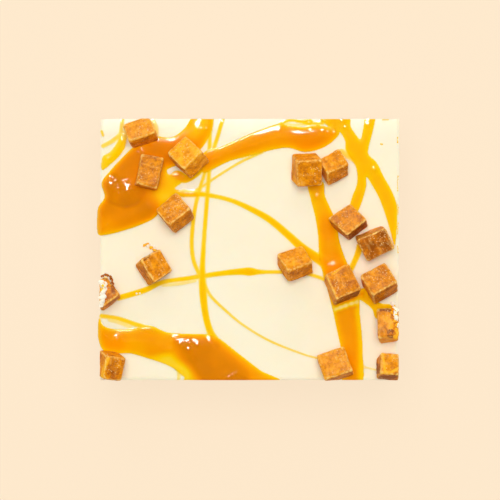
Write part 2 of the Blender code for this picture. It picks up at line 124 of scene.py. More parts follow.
POOLS = (
    Pool("far_left_pool", 0.95, 1.4, (
        (-14.7, 35.6), (-17.1, 32.4), (-20.5, 30.0), (-25.1, 29.9), (-30.4, 27.6), (-33.9, 24.4),
        (-37.1, 20.9), (-39.3, 17.7), (-38.5, 14.0), (-40.3, 11.1), (-40.6, 7.3), (-40.3, 4.1),
        (-38.1, 3.9), (-33.9, 4.9), (-29.1, 6.5), (-24.8, 8.8), (-22.9, 12.9), (-22.7, 17.2),
        (-21.9, 21.2), (-16.8, 23.3), (-13.1, 26.5), (-11.2, 29.2), (-9.9, 32.1), (-9.9, 35.6),
    )),
    Pool("far_left_skirt", 0.4, 0.45, (
        (-24.3, 21.8), (-22.2, 21.6), (-21.6, 20.1), (-20.0, 19.9), (-18.2, 20.5), (-16.9, 19.7),
        (-18.2, 17.7), (-19.7, 16.2), (-17.3, 15.6), (-13.9, 15.3), (-13.5, 14.2), (-17.3, 14.0),
        (-20.5, 14.1), (-23.7, 12.4),
    )),
    Pool("far_leaf", 0.3, 0.22, (
        (-32.6, 30.6), (-33.0, 27.5), (-34.5, 25.0), (-36.7, 22.9), (-39.2, 21.2), (-39.1, 24.6),
        (-37.1, 26.0), (-35.2, 28.4), (-34.0, 30.6),
    )),
    Pool("far_band", 0.85, 1.1, (
        (-12.3, 25.5), (-7.7, 27.3), (-2.4, 29.7), (2.9, 31.9), (7.7, 33.4), (10.6, 32.9),
        (14.4, 32.5), (18.9, 33.0), (24.0, 31.6), (22.4, 28.9), (18.9, 26.8), (14.7, 26.0), (10.4, 27.1),
        (5.1, 26.3), (-0.3, 24.9), (-5.1, 23.6), (-10.1, 21.2), (-12.3, 20.7),
    )),
    Pool("far_right_fork", 0.7, 0.68, (
        (19.2, 35.6), (26.4, 35.6), (27.2, 32.7), (29.6, 29.5), (30.4, 32.1), (31.2, 35.6),
        (33.6, 35.6), (33.1, 31.9), (31.9, 27.1), (32.0, 25.2), (34.1, 23.1), (36.0, 19.3),
        (37.9, 15.9), (39.4, 11.9), (39.5, 7.3), (38.9, 0.9), (37.9, 4.1), (36.5, 8.9),
        (34.7, 13.7), (32.8, 17.2), (31.3, 19.3), (31.2, 16.7), (30.1, 12.7), (28.8, 10.0),
        (26.9, 11.1), (27.6, 14.3), (28.8, 17.7), (28.5, 22.0), (26.0, 26.3), (25.6, 28.9),
        (24.0, 31.6), (21.1, 32.9),
    )),
    Pool("right_band", 0.85, 1.1, (
        (15.7, 18.0), (19.7, 18.0), (20.3, 14.3), (21.9, 10.5), (23.5, 6.8), (24.0, 2.8),
        (25.3, -1.5), (27.5, -6.8), (29.3, -12.1), (29.6, -17.5), (30.1, -22.8), (30.4, -29.5),
        (30.1, -35.6), (24.8, -35.6), (25.6, -31.6), (24.5, -26.3), (23.5, -21.7), (22.4, -16.7),
        (21.1, -11.3), (19.5, -5.5), (18.7, -0.7), (18.4, 3.9), (17.6, 8.9), (16.5, 13.2),
    )),
    Pool("right_skirt", 0.5, 0.68, (
        (28.5, -12.4), (30.7, -10.3), (34.4, -14.0), (38.1, -14.8), (38.1, -16.7), (34.1, -18.5),
        (32.8, -15.9), (30.7, -14.1),
    )),
    Pool("near_left_band", 0.9, 1.05, (
        (-40.0, -18.5), (-38.7, -20.4), (-36.0, -21.2), (-31.7, -21.3), (-26.4, -20.5),
        (-21.6, -22.1), (-15.7, -22.5), (-11.2, -22.7), (-7.5, -24.1), (-2.4, -28.0),
        (2.9, -32.1), (8.0, -35.6), (-15.2, -35.6), (-17.3, -34.0), (-19.5, -32.1),
        (-22.1, -30.7), (-26.4, -29.2), (-31.7, -27.7), (-35.2, -27.7), (-38.9, -26.8),
        (-40.3, -23.1),
    )),
)

HEAPS = (
    Heap(0.4, 0.25, 0.8, (
        (-42.0, 13.6), (-39.3, 13.5), (-36.4, 12.1), (-32.6, 11.0), (-29.0, 12.6), (-27.0, 17.0),
        (-27.0, 24.0), (-34.0, 30.0), (-42.0, 24.0),
    )),
    Heap(0.55, 0.66, 3.4, (
        (-20.4, -23.0), (-15.7, -22.4), (-11.0, -22.9), (-7.2, -25.2), (-3.0, -29.0), (0.5, -33.0),
        (-1.0, -37.4), (-14.0, -37.4), (-16.4, -31.9), (-19.6, -27.4),
    )),
    Heap(0.5, 0.2, 0.8, (
        (20.0, -5.0), (26.6, -3.4), (30.4, -10.6), (29.8, -15.0), (26.4, -16.0), (22.4, -17.0),
        (20.4, -13.6),
    )),
    Heap(-0.1, -0.6, 1.0, (
        (27.9, -14.5), (30.4, -13.0), (31.6, -22.0), (31.6, -36.6), (28.9, -36.6), (28.6, -25.0),
    )),
    Heap(-0.2, -0.75, 2.2, (
        (-26.0, -28.0), (-21.0, -27.0), (-18.2, -29.0), (-14.4, -31.8), (-11.6, -36.6),
        (-22.0, -36.6), (-29.0, -31.0),
    )),
)

SWELLS = (
    Swell(-32.0, 15.0, 4.2, 0.9, 0.2),
    Swell(-37.0, 16.6, 3.4, 0.5, 0.15),
    # The next three make a crease between the lobe and the dome, painted a little deeper, and so darker, as
    # shade in the fold.
    Swell(-36.3, 19.3, 1.3, -0.35, 0.1),
    Swell(-35.1, 17.4, 1.3, -0.45, 0.15),
    Swell(-34.3, 15.6, 1.3, -0.3, 0.1),
    Swell(-14.7, 31.6, 5.5, 0.0, -0.75),
    Swell(-12.0, 35.0, 5.0, 0.0, -0.7),
    Swell(-24.4, 14.0, 4.0, 0.0, -0.6),
    Swell(-37.6, 6.2, 4.0, 0.0, -0.25),
    Swell(16.0, 30.0, 7.0, 0.2, 0.25),
    Swell(21.8, 1.5, 4.0, 0.2, -0.1),
    Swell(18.7, 12.0, 6.5, 0.0, -0.4),
    Swell(-38.4, 12.0, 4.5, 0.0, 0.3),
    Swell(-27.0, 11.0, 5.0, 0.0, 0.3),
    Swell(-23.0, 26.0, 4.5, 0.0, 0.25),
    Swell(-35.6, 14.4, 2.6, 0.0, -0.3),
    Swell(-18.8, 18.0, 2.6, 0.0, 0.12),
    Swell(-9.0, -28.5, 4.0, 0.0, -0.15),
    # The next five thin the depth of colour to a pale band along the shelf at the foot of a fudge piece:
    # painted highlight.
    Swell(23.0, -15.9, 1.2, 0.0, -1.8),
    Swell(24.4, -15.4, 1.2, 0.0, -1.8),
    Swell(25.8, -14.9, 1.2, 0.0, -1.8),
    Swell(27.3, -14.4, 1.2, 0.0, -1.8),
    Swell(28.7, -13.9, 1.1, 0.0, -1.4),
    # Painted shadow: deeper, darker caramel along the near left foot of the same fudge piece.
    Swell(22.0, -12.4, 2.6, 0.0, 0.9),
    Swell(-30.0, -26.6, 5.0, 0.0, -0.2),
    Swell(-14.7, -28.8, 1.5, 0.3),
    Swell(-14.7, -28.8, 0.8, -0.35),
)

# Tiny blisters under the caramel's skin, which glint: their middles in plan and their radii.
BLISTERS = (
    (-33.8, 17.6, 1.0), (-31.2, 16.3, 1.1), (-32.7, 15.6, 0.7), (-32.5, 18.2, 0.7), (-35.2, 14.9, 0.6),
    (-32.7, 11.7, 0.6), (-26.2, 28.1, 0.8), (-13.6, 31.9, 0.8), (-12.4, 32.0, 0.9), (-11.3, 32.1, 0.7),
    (16.5, 32.6, 0.7), (20.0, 32.0, 0.7), (21.3, 31.5, 0.8), (23.0, 31.0, 0.7), (25.8, 32.5, 0.8),
    (25.0, 34.3, 0.7), (31.8, 32.9, 0.8), (33.6, 21.4, 1.3), (18.2, 13.9, 1.4), (23.4, 2.0, 1.1),
    (27.6, -14.2, 0.9), (26.4, -14.6, 0.9), (25.1, -14.9, 0.8), (23.8, -15.2, 0.9),
    (22.8, -15.5, 0.7), (27.7, -18.3, 0.7), (-35.1, -23.9, 1.4), (-35.4, -25.1, 0.8), (-19.5, -24.3, 0.7),
    (-18.5, -25.1, 0.7), (-17.4, -25.9, 0.7), (-15.7, -24.8, 0.9), (-13.6, -25.5, 0.9), (-16.0, -26.9, 1.3),
    (-19.3, -31.1, 0.6), (-18.1, -32.0, 0.5), (-5.5, -34.2, 0.7), (-4.4, -33.6, 0.7), (-3.3, -33.1, 0.6),
    (-6.9, 33.9, 0.6), (-15.2, 6.1, 0.5), (29.5, -11.7, 0.8), (30.2, -13.0, 0.7), (-26.0, 20.6, 0.6),
)

STRANDS = (
    Strand("arc", (
        (-17.3, 15.1, 1.9), (-10.9, 14.5, 1.3), (-5.1, 13.2, 1.3), (0.3, 10.9, 1.6),
        (5.6, 7.9, 1.9), (10.4, 3.9, 2.1), (14.4, 0.3, 2.4), (19.7, -3.3, 2.7),
    )),
    Strand("crosswise", (
        (-34.7, -12.9, 1.6), (-27.7, -10.8, 1.6), (-22.9, -8.7, 1.3), (-15.7, -7.6, 1.3),
        (-7.7, -6.4, 1.5), (-2.4, -5.9, 1.9), (0.3, -5.9, 2.3), (3.5, -6.0, 1.3),
        (9.6, -6.0, 1.1), (15.7, -6.5, 1.1), (21.1, -8.4, 0.9),
    )),
    Strand("lengthwise", (
        (-10.4, 35.6, 1.1), (-10.5, 27.9, 1.1), (-10.7, 19.9, 1.1), (-11.2, 13.2, 1.2),
        (-12.0, 2.5, 1.3), (-12.4, -4.9, 1.6), (-12.3, -10.8, 2.1), (-11.7, -16.7, 1.9),
        (-10.4, -21.7, 1.9), (-8.3, -25.2, 2.1),
    )),
    Strand("second_lengthwise", (
        (-6.8, 35.6, 1.1), (-8.8, 28.7, 1.1), (-11.7, 20.7, 0.9), (-14.1, 12.4, 1.1),
        (-15.1, 5.2, 1.2), (-15.2, -0.1, 1.2), (-14.4, -4.1, 1.2), (-12.3, -8.1, 1.1),
    )),
    Strand("fine_arc", (
        (-12.5, -7.3, 0.9), (-10.4, -12.1, 0.9), (-6.1, -16.4, 0.8), (-1.3, -20.3, 0.7),
        (5.6, -24.4, 0.7), (14.4, -27.9, 0.6), (18.9, -29.1, 0.6),
    )),
    Strand("feeder", (
        (3.5, 26.0, 0.8), (-2.4, 23.2, 0.7), (-7.7, 20.0, 0.7), (-11.7, 17.3, 0.7), (-15.2, 15.1, 0.8),
    )),
    Strand("left_edge", (
        (-39.3, -17.7, 1.2), (-34.9, -18.4, 1.2), (-30.4, -19.9, 1.3), (-25.3, -21.5, 1.3),
    )),
    Strand("far_corner", ((-33.6, 35.6, 1.1), (-34.0, 32.4, 1.1), (-34.4, 29.2, 1.1)), 0.6),
    Strand("far_corner_cross", ((-33.6, 31.1, 1.2), (-36.5, 28.9, 1.2), (-38.9, 27.6, 1.2)), 0.6),
    Strand("right_leg", ((29.6, 0.9, 1.9), (28.8, -1.7, 1.7), (27.2, -5.2, 1.5))),
    Strand("far_curl", (
        (8.4, 33.4, 0.8), (10.1, 34.3, 0.8), (11.7, 34.5, 0.7), (13.3, 34.2, 0.8), (14.8, 34.2, 0.9),
        (16.0, 34.5, 0.9), (16.7, 34.0, 0.8), (16.1, 33.5, 0.9), (14.6, 33.8, 0.8),
    ), 1.6),
    Strand("far_curl_tail", ((16.6, 33.6, 0.7), (18.2, 33.6, 0.9), (19.6, 33.9, 1.2)), 1.3),
    Strand("far_curl_loop", ((10.1, 33.5, 0.5), (12.1, 33.2, 0.5), (14.3, 33.4, 0.5)), 0.6),
    Strand("cut_fold", ((-6.4, -35.2, 0.8), (-4.8, -34.0, 0.9), (-2.9, -32.7, 0.7))),
    Strand("cut_fold_arc", ((-3.7, -34.2, 0.7), (-2.0, -33.8, 0.8), (-0.3, -34.6, 0.7))),
    Strand("left_ghost", ((-37.1, -18.8, 1.0), (-34.4, -19.5, 1.1), (-31.7, -20.6, 0.9)), 0.35),
    Strand("cross_ghost", ((-22.9, -9.6, 0.8), (-18.7, -9.2, 0.9), (-14.4, -8.4, 0.8)), 0.35),
    Strand("near_right_thread", ((30.2, -31.2, 0.5), (33.9, -32.1, 0.5)), 0.5),
    Strand("near_left_trickle", ((-18.9, -31.8, 0.9), (-18.7, -33.4, 0.9), (-18.9, -35.4, 0.9)), 0.45),
    Strand("left_speck", ((-39.3, 31.5, 0.8), (-38.9, 30.4, 0.7))),
    Strand("far_smear", ((-25.6, 34.3, 1.2), (-25.0, 32.6, 1.7), (-24.8, 31.0, 1.5)), 0.3),
    Strand("fork_smear", ((24.6, 26.2, 1.4), (26.1, 25.2, 1.7), (27.7, 24.3, 1.6)), 0.5),
    Strand("foot_film", (
        (-20.5, 19.5, 1.4), (-19.2, 19.8, 2.6), (-17.2, 18.9, 2.4), (-14.9, 19.6, 1.8), (-12.5, 21.4, 1.4),
    ), 1.2),
    Strand("far_edge_speck", ((35.7, 34.7, 0.6), (37.1, 34.7, 0.6)), 0.8),
)


def log_piece(obj: bpy.types.Object) -> None:
    """Reports a finished piece and how many faces it has."""
    LOG.info("%s: %d faces", obj.name, len(obj.data.polygons))


def deselect_all() -> None:
    """Leaves object mode with nothing selected."""
    if bpy.context.mode != "OBJECT":
        bpy.ops.object.mode_set(mode="OBJECT")
    bpy.ops.object.select_all(action="DESELECT")


def make_active(obj: bpy.types.Object) -> None:
    """Selects one object alone and makes it the active one.

    Args:
        obj: The object.
    """
    deselect_all()
    obj.select_set(True)
    bpy.context.view_layer.objects.active = obj


def extrude(height: float, steps: int) -> None:
    """Extrudes what is selected straight up, or down, in equal steps.

    Args:
        height: How far in all, in millimetres, below zero to go down.
        steps: How many layers to make.
    """
    for _ in range(steps):
        step = (0, 0, height * MM / steps)
        bpy.ops.mesh.extrude_region_move(TRANSFORM_OT_translate={"value": step})


def finish_editing() -> None:
    """Points every face of the piece in edit mode outwards and goes back to object mode."""
    bpy.ops.mesh.select_all(action="SELECT")
    bpy.ops.mesh.normals_make_consistent(inside=False)
    bpy.ops.object.mode_set(mode="OBJECT")


def apply_modifier(obj: bpy.types.Object, kind: str, **settings: object) -> None:
    """Adds one modifier to a piece and applies it.

    Args:
        obj: The piece.
        kind: The modifier's type, such as "REMESH".
        **settings: The modifier's own settings.
    """
    make_active(obj)
    modifier = obj.modifiers.new(kind.lower(), kind)
    for setting, value in settings.items():
        setattr(modifier, setting, value)
    bpy.ops.object.modifier_apply(modifier=modifier.name)


def shade(obj: bpy.types.Object, degrees: float) -> None:
    """Shades a piece smooth, but for edges sharper than this angle."""
    make_active(obj)
    bpy.ops.object.shade_smooth_by_angle(angle=math.radians(degrees))


def read_vectors(items: bpy.types.bpy_prop_collection, name: str) -> np.ndarray:
    """One vector of each vertex or face of a mesh.

    Args:
        items: The mesh's vertices or faces.
        name: Which vector to read, such as "co".

    Returns:
        The vectors, one row each.
    """
    flat = np.empty(len(items) * 3)
    items.foreach_get(name, flat)
    return flat.reshape(-1, 3)


def vertices_of(obj: bpy.types.Object) -> np.ndarray:
    """A piece's vertices, in millimetres, one row each."""
    return read_vectors(obj.data.vertices, "co") / MM


def normals_of(obj: bpy.types.Object) -> np.ndarray:
    """The outward direction at each of a piece's vertices."""
    return read_vectors(obj.data.vertices, "normal")


def move_vertices(obj: bpy.types.Object, points: np.ndarray) -> None:
    """Sets a piece's vertices, given in millimetres."""
    obj.data.vertices.foreach_set("co", (points * MM).ravel())
    obj.data.update()


def paint(obj: bpy.types.Object, name: str, values: np.ndarray) -> None:
    """Keeps one number for each vertex, for the finish to read."""
    layer = obj.data.attributes.new(name, "FLOAT", "POINT")
    layer.data.foreach_set("value", np.asarray(values, np.float32))


def select_faces(obj: bpy.types.Object, chosen: np.ndarray) -> None:
    """Selects these faces of a piece and opens it in edit mode.

    Args:
        obj: The piece.
        chosen: True for each face to select.
    """
    make_active(obj)
    bpy.context.tool_settings.mesh_select_mode = (False, False, True)
    obj.data.vertices.foreach_set("select", np.zeros(len(obj.data.vertices), bool))
    obj.data.edges.foreach_set("select", np.zeros(len(obj.data.edges), bool))
    obj.data.polygons.foreach_set("select", chosen)
    bpy.ops.object.mode_set(mode="EDIT")


def rim_vertices(obj: bpy.types.Object) -> np.ndarray:
    """Finds a piece's open edges.

    Args:
        obj: The piece.

    Returns:
        The indices of the vertices on its open edges.
    """
    edges = np.empty(len(obj.data.edges) * 2, int)
    obj.data.edges.foreach_get("vertices", edges)
    of_loop = np.empty(len(obj.data.loops), int)
    obj.data.loops.foreach_get("edge_index", of_loop)
    uses = np.bincount(of_loop, minlength=len(obj.data.edges))
    return np.unique(edges.reshape(-1, 2)[uses == 1])


def on_plan(x: np.ndarray, y: np.ndarray) -> np.ndarray:
    """Places in plan as points at no height, one row each."""
    return np.column_stack([x, y, np.zeros_like(x)])


def noise_at(points: np.ndarray, size: float, seed: float = 0.0) -> np.ndarray:
    """Smooth noise, about -1 to 1, at each point.

    Args:
        points: Places in millimetres, one row each.
        size: The width of one bump of the noise in millimetres.
        seed: Another value gives another noise.

    Returns:
        One value for each point.
    """
    placed = points / size + seed
    return np.array([noise.noise(place) for place in placed.tolist()])


def smooth_path(points: tuple, spacing: float, closed: bool) -> np.ndarray:
    """Points along the Catmull-Rom curve through a few points.

    Args:
        points: The points to pass through, with any number of coordinates each.
        spacing: How far apart in plan the new points are, about.
        closed: Whether the curve runs back to its start.

    Returns:
        The new points, one row each.
    """
    knots = np.array(points, float)
    count = len(knots)
    path = []
    for i in range(count if closed else count - 1):
        places = [i - 1, i, i + 1, i + 2]
        near = [p % count if closed else min(max(p, 0), count - 1) for p in places]
        a, b, c, d = knots[near]
        steps = max(1, round(math.dist(b[:2], c[:2]) / spacing))
        t = (np.arange(steps) / steps)[:, None]
        square = (2 * a - 5 * b + 4 * c - d) * t**2
        cube = (3 * b - a - 3 * c + d) * t**3
        path.append(0.5 * (2 * b + (c - a) * t + square + cube))
    if not closed:
        path.append(knots[-1:])
    return np.concatenate(path)


def in_outline(x: np.ndarray, y: np.ndarray, outline: np.ndarray) -> np.ndarray:
    """Tells which places in plan are inside a closed outline.

    Args:
        x: The places along the slice.
        y: The places across it.
        outline: The outline's points, one row each.

    Returns:
        True for each place inside.
    """
    found = np.zeros(np.shape(x), bool)
    for a, b in zip(outline, np.roll(outline, -1, axis=0)):
        if a[1] == b[1]:
            continue
        crosses = (a[1] > y) != (b[1] > y)
        found ^= crosses & (x < a[0] + (b[0] - a[0]) * (y - a[1]) / (b[1] - a[1]))
    return found


def nearest(points: np.ndarray, x: np.ndarray, y: np.ndarray) -> tuple[np.ndarray, np.ndarray]:
    """Finds which of some points is nearest in plan to each place.

    Args:
        points: The points, one row each.
        x: The places along the slice.
        y: The places across it.

    Returns:
        The distance from each place to its nearest point, and that point's index.
    """
    tree = kdtree.KDTree(len(points))
    for i, point in enumerate(points):
        tree.insert((point[0], point[1], 0.0), i)
    tree.balance()
    found = [tree.find((px, py, 0.0)) for px, py in zip(x.tolist(), y.tolist())]
    return np.array([f[2] for f in found]), np.array([f[1] for f in found])


def soft_most(a: np.ndarray, b: np.ndarray, blend: float) -> np.ndarray:
    """The larger of two values, with a rounded change from one to the other."""
    return 0.5 * (a + b + np.sqrt((a - b) ** 2 + blend**2))


def shoulder(t: np.ndarray) -> np.ndarray:
    """Rises from 0 at 0, steeply at first, to level out at 1 at 1, as half a parabola does."""
    return 1 - (1 - np.clip(t, 0, 1)) ** 2


class PlanGrid:
    """A square grid in plan, with ways to read and to blur values on it."""

    # A place past the grid's end is read this many points short of it, so that it has four round it.
    END_GAP = 1.001

    def __init__(self, half_length: float, half_width: float, spacing: float) -> None:
        """Lays the grid out round the origin.

        Args:
            half_length: How far it reaches along X, to either side.
            half_width: How far it reaches along Y, to either side.
            spacing: The distance between its points.
        """
        self.spacing = spacing
        self.low = (-half_length, -half_width)
        along = np.arange(-half_length, half_length, spacing)
        across = np.arange(-half_width, half_width, spacing)
        self.x, self.y = np.meshgrid(along, across)

    def read(self, values: np.ndarray, x: np.ndarray, y: np.ndarray) -> np.ndarray:
        """Reads values at any places, blended from the four grid points round each.

        Args:
            values: One value for each grid point.
            x: The places along the slice.
            y: The places across it.

        Returns:
            One value for each place.
        """
        rows, columns = values.shape
        across = np.clip((x - self.low[0]) / self.spacing, 0, columns - self.END_GAP)
        up = np.clip((y - self.low[1]) / self.spacing, 0, rows - self.END_GAP)
        i, j = across.astype(int), up.astype(int)
        s, t = across - i, up - j
        lower = values[j, i] * (1 - s) + values[j, i + 1] * s
        upper = values[j + 1, i] * (1 - s) + values[j + 1, i + 1] * s
        return lower * (1 - t) + upper * t

    def blurred(self, values: np.ndarray, width: float) -> np.ndarray:
        """Smooths values on the grid.

        Args:
            values: One value for each grid point.
            width: How many millimetres to smooth over.

        Returns:
            The smoothed values.
        """
        rows, columns = values.shape
        along = np.fft.rfftfreq(columns, self.spacing)
        across = np.fft.fftfreq(rows, self.spacing)[:, None]
        kept = np.exp(-2 * (math.pi * width) ** 2 * (along**2 + across**2))
        return np.fft.irfft2(np.fft.rfft2(values) * kept, s=values.shape)


@dataclass(frozen=True)
class ChocolateSurface:
    """The face of the set white chocolate, as a height above its flat top.

    It is flat but for slow swells, rolls off towards the far side, where it set against the tin, and
    is a little rounded along the knife cuts.
    """

    swell: float = 0.07
    swell_size: float = 9.0
    ripple: float = 0.03
    ripple_size: float = 3.4
    far_drop: float = 0.42
    far_reach: float = 5.0
    far_curve: float = 2.2
    past_far_side: float = 1.2
    cut_drop: float = 0.25
    cut_reach: float = 0.6
    past_edge_drop: float = 1.1

    @staticmethod
    def inset(x: np.ndarray, y: np.ndarray) -> np.ndarray:
        """Measures how far in from the nearest cut places in plan lie, the far side apart.

        Args:
            x: The places along the slice.
            y: The places across it.

        Returns:
            The distance of each place from the left, right or near cut.
        """
        near_left, near_right, far_right, far_left = CHOCOLATE_CORNERS
        share = (y + SIDE_CUT) / (2 * SIDE_CUT)
        left = near_left[0] + (far_left[0] - near_left[0]) * share
        right = near_right[0] + (far_right[0] - near_right[0]) * share
        return np.minimum(np.minimum(x - left, right - x), y + SIDE_CUT)

    def height(self, x: np.ndarray, y: np.ndarray) -> np.ndarray:
        """Works out how high the surface is above the flat top.

        Args:
            x: The places along the slice.
            y: The places across it.

        Returns:
            The height at each place.
        """
        flat = on_plan(x, y)
        height = self.swell * noise_at(flat, self.swell_size, seed=3.1)
        height += self.ripple * noise_at(flat, self.ripple_size, seed=7.7)
        far = np.clip(1 - (SIDE_CUT - y) / self.far_reach, 0, self.past_far_side)
        height -= self.far_drop * far**self.far_curve
        height -= self.cut_drop * np.clip(1 - self.inset(x, y) / self.cut_reach, 0, 1) ** 2
        height -= self.past_edge_drop * np.clip(LEFT_CUT - x, 0, None) ** 2
        return height


@dataclass
class CaramelField:
    """The caramel in plan: how far inside its edge a place lies, its relief and its depth of colour.

    Pools rise from a low rim to a broad shoulder, strands are low domes, and where two runs meet the
    corner between them is filled, as the surface of a syrup fills it. The depth of colour is greater
    than the relief, because the warm caramel also sank a little into the soft chocolate. At a few
    swells the depth of colour is painted: shallower for a painted highlight, deeper for painted shade.
    """

    # The maps: how far they reach, and how closely outlines and routes are followed.
    reach: tuple = (44.0, 38.0)
    spacing: float = 0.2
    outline_step: float = 0.12
    heap_step: float = 0.2
    route_step: float = 0.15
    past_cut: float = 0.2
    past_right_cut: float = 0.3
    # The pools: their rims, how far in they rise, and how their heights and depths blend.
    rim: float = 0.4
    rim_share: float = 0.7
    rim_depth: float = 0.42
    rise: float = 4.5
    heap_rise: float = 1.4
    depth_rise: float = 2.0
    pool_blend: float = 0.9
    relief_blend: float = 0.22
    depth_blend: float = 0.35
    least_share: float = 1e-6
    least_cover: float = 0.05
    # The strands: the height of their rims, and what each millimetre of width adds.
    strand_reach: float = 2.5
    strand_rim: float = 0.14
    strand_relief: float = 0.05
    strand_depth: float = 0.216
    strand_least_depth: float = 0.12
    strand_fillet: float = 0.3
    far_outside: float = -9.0
    # Where pools and strands meet, and the film that is left at the thinnest places.
    fillet: float = 0.5
    overlap_share: float = 0.6
    overlap_depth: float = 0.25
    step_blend: float = 0.06
    step_share: float = 0.8
    film: float = 0.02
    film_depth: float = 0.12
    film_reach: float = 0.4
    blister_share: float = 0.22
    grid: PlanGrid = field(init=False)
    margin: np.ndarray = field(init=False)
    relief: np.ndarray = field(init=False)
    depth: np.ndarray = field(init=False)

    def __post_init__(self) -> None:
        """Works the three maps out from the pools, heaps, swells and strands."""
        self.grid = PlanGrid(*self.reach, self.spacing)
        # Past a cut the maps go on as they are at the cut, so that each run keeps its section there.
        limit = SIDE_CUT + self.past_cut
        x, y = self.grid.x, np.clip(self.grid.y, -limit, limit)
        pool_margin, pool_relief, pool_depth = self._pools(x, y)
        strand_margin, strand_relief, strand_depth = self._strands(x, y)
        self.margin = soft_most(pool_margin, strand_margin, self.fillet)
        floor = np.maximum(strand_relief, self.step_share * self.strand_rim)
        relief = soft_most(pool_relief, floor, self.step_blend) - self.step_blend / 2
        relief += self.overlap_share * np.minimum(pool_relief, strand_relief)
        self.relief = self.film + relief + self._blisters(x, y)
        thin = self.film_depth * np.clip(self.margin / self.film_reach, 0, 1)
        overlap = self.overlap_depth * np.minimum(pool_depth, strand_depth)
        self.depth = np.maximum(np.maximum(pool_depth, strand_depth) + overlap, thin)

    def _pools(self, x: np.ndarray, y: np.ndarray) -> tuple[np.ndarray, np.ndarray, np.ndarray]:
        """Works out the pools.

        Args:
            x: The places along the slice.
            y: The places across it.

        Returns:
            Their margin, which is below zero outside them, their relief and their depth.
        """
        outlines = [smooth_path(pool.outline, self.outline_step, closed=True) for pool in POOLS]
        insides = [in_outline(x, y, outline) for outline in outlines]
        inside = np.logical_or.reduce(insides)
        margin = self._signed(self._outer_edge(outlines), inside, x, y)
        blurred = [self.grid.blurred(mask.astype(float), self.pool_blend) for mask in insides]
        shares = [share + self.least_share for share in blurred]
        whole = sum(shares)
        height = sum(share * pool.height for share, pool in zip(shares, POOLS)) / whole
        full = sum(share * pool.depth for share, pool in zip(shares, POOLS)) / whole
        more_height, more_depth = self._extra(x, y)
        rim = np.minimum(self.rim, self.rim_share * height)
        relief = rim + (height - rim) * shoulder(margin / self.rise)
        relief = relief + more_height * shoulder(margin / self.heap_rise)
        relief = self.grid.blurred(np.where(inside, relief, 0.0), self.relief_blend)
        cover = self.grid.blurred(inside.astype(float), self.relief_blend)
        relief /= np.maximum(cover, self.least_cover)
        rim_depth = np.minimum(self.rim_depth, full)
        depth = rim_depth + (full - rim_depth + more_depth) * shoulder(margin / self.depth_rise)
        depth = np.where(inside, self.grid.blurred(depth, self.depth_blend), 0.0)
        return margin, np.where(inside, relief, 0.0), depth

    def _outer_edge(self, outlines: list[np.ndarray]) -> np.ndarray:
        """Finds the edge of all the pools together.

        Args:
            outlines: Each pool's outline.

        Returns:
            The outlines' points that are in no other pool and not past a cut.
        """
        edges = []
        for i, outline in enumerate(outlines):
            free = np.abs(outline[:, 1]) < SIDE_CUT + self.past_cut
            for j, other in enumerate(outlines):
                if i != j:
                    free &= ~in_outline(outline[:, 0], outline[:, 1], other)
            edges.append(outline[free])
        return np.concatenate(edges)

    def _extra(self, x: np.ndarray, y: np.ndarray) -> tuple[np.ndarray, np.ndarray]:
        """Works out what the heaps and the swells add to the pools.

        Args:
            x: The places along the slice.
            y: The places across it.

        Returns:
            What they add to the height and to the depth.
        """
        height = np.zeros(x.shape)
        depth = np.zeros(x.shape)
        for heap in HEAPS:
            outline = smooth_path(heap.outline, self.heap_step, closed=True)
            margin = self._signed(outline, in_outline(x, y, outline), x, y)
            share = shoulder(margin / heap.rise)
            height += heap.height * share
            depth += heap.depth * share
        for swell in SWELLS:
            share = self._bump(x, y, (swell.x, swell.y), swell.radius)
            height += swell.height * share
            depth += swell.depth * share
        return height, depth

    def _blisters(self, x: np.ndarray, y: np.ndarray) -> np.ndarray:
        """Works out the relief of the blisters.

        Args:
            x: The places along the slice.
            y: The places across it.

        Returns:
            The relief at each place.
        """
        relief = np.zeros(x.shape)
        for *middle, radius in BLISTERS:
            bump = self._bump(x, y, middle, radius)
            relief = np.maximum(relief, self.blister_share * radius * bump)
        return relief

    @staticmethod
    def _bump(x: np.ndarray, y: np.ndarray, middle: tuple | list, radius: float) -> np.ndarray:
        """A rounded bump in plan, 1 at its middle and 0 past its radius."""
        off = np.hypot(x - middle[0], y - middle[1]) / radius
        return np.clip(1 - off**2, 0, 1) ** 2

    @staticmethod
    def _signed(edge: np.ndarray, inside: np.ndarray, x: np.ndarray, y: np.ndarray) -> np.ndarray:
        """The distance of each place from an edge, below zero outside it."""
        distance = nearest(edge, x.ravel(), y.ravel())[0].reshape(x.shape)
        return np.where(inside, distance, -distance)

    def _strands(self, x: np.ndarray, y: np.ndarray) -> tuple[np.ndarray, np.ndarray, np.ndarray]:
        """Works out the strands.

        Args:
            x: The places along the slice.
            y: The places across it.

        Returns:
            Their margin, which is below zero outside them, their relief and their depth.
        """
        margin = np.full(x.shape, self.far_outside)
        relief = np.zeros(x.shape)
        depth = np.zeros(x.shape)
        for strand in STRANDS:
            path = smooth_path(strand.route, self.route_step, closed=False)
            low = path[:, :2].min(axis=0) - self.strand_reach
            high = path[:, :2].max(axis=0) + self.strand_reach
            near = (x > low[0]) & (x < high[0]) & (y > low[1]) & (y < high[1])
            distance, index = nearest(path, x[near], y[near])
            width = path[index, 2]
            off = np.clip(2 * distance / width, 0, 1)
            crest = self.strand_rim + self.strand_relief * width * (1 - off**2)
            crest = np.where(distance < width / 2 + self.strand_fillet, crest, 0.0)
            full = (self.strand_least_depth + self.strand_depth * width) * strand.fullness
            margin[near] = soft_most(margin[near], width / 2 - distance, self.strand_fillet)
            relief[near] = np.maximum(relief[near], crest)
            depth[near] = np.maximum(depth[near], full * (1 - off**4))
        return margin, relief, depth

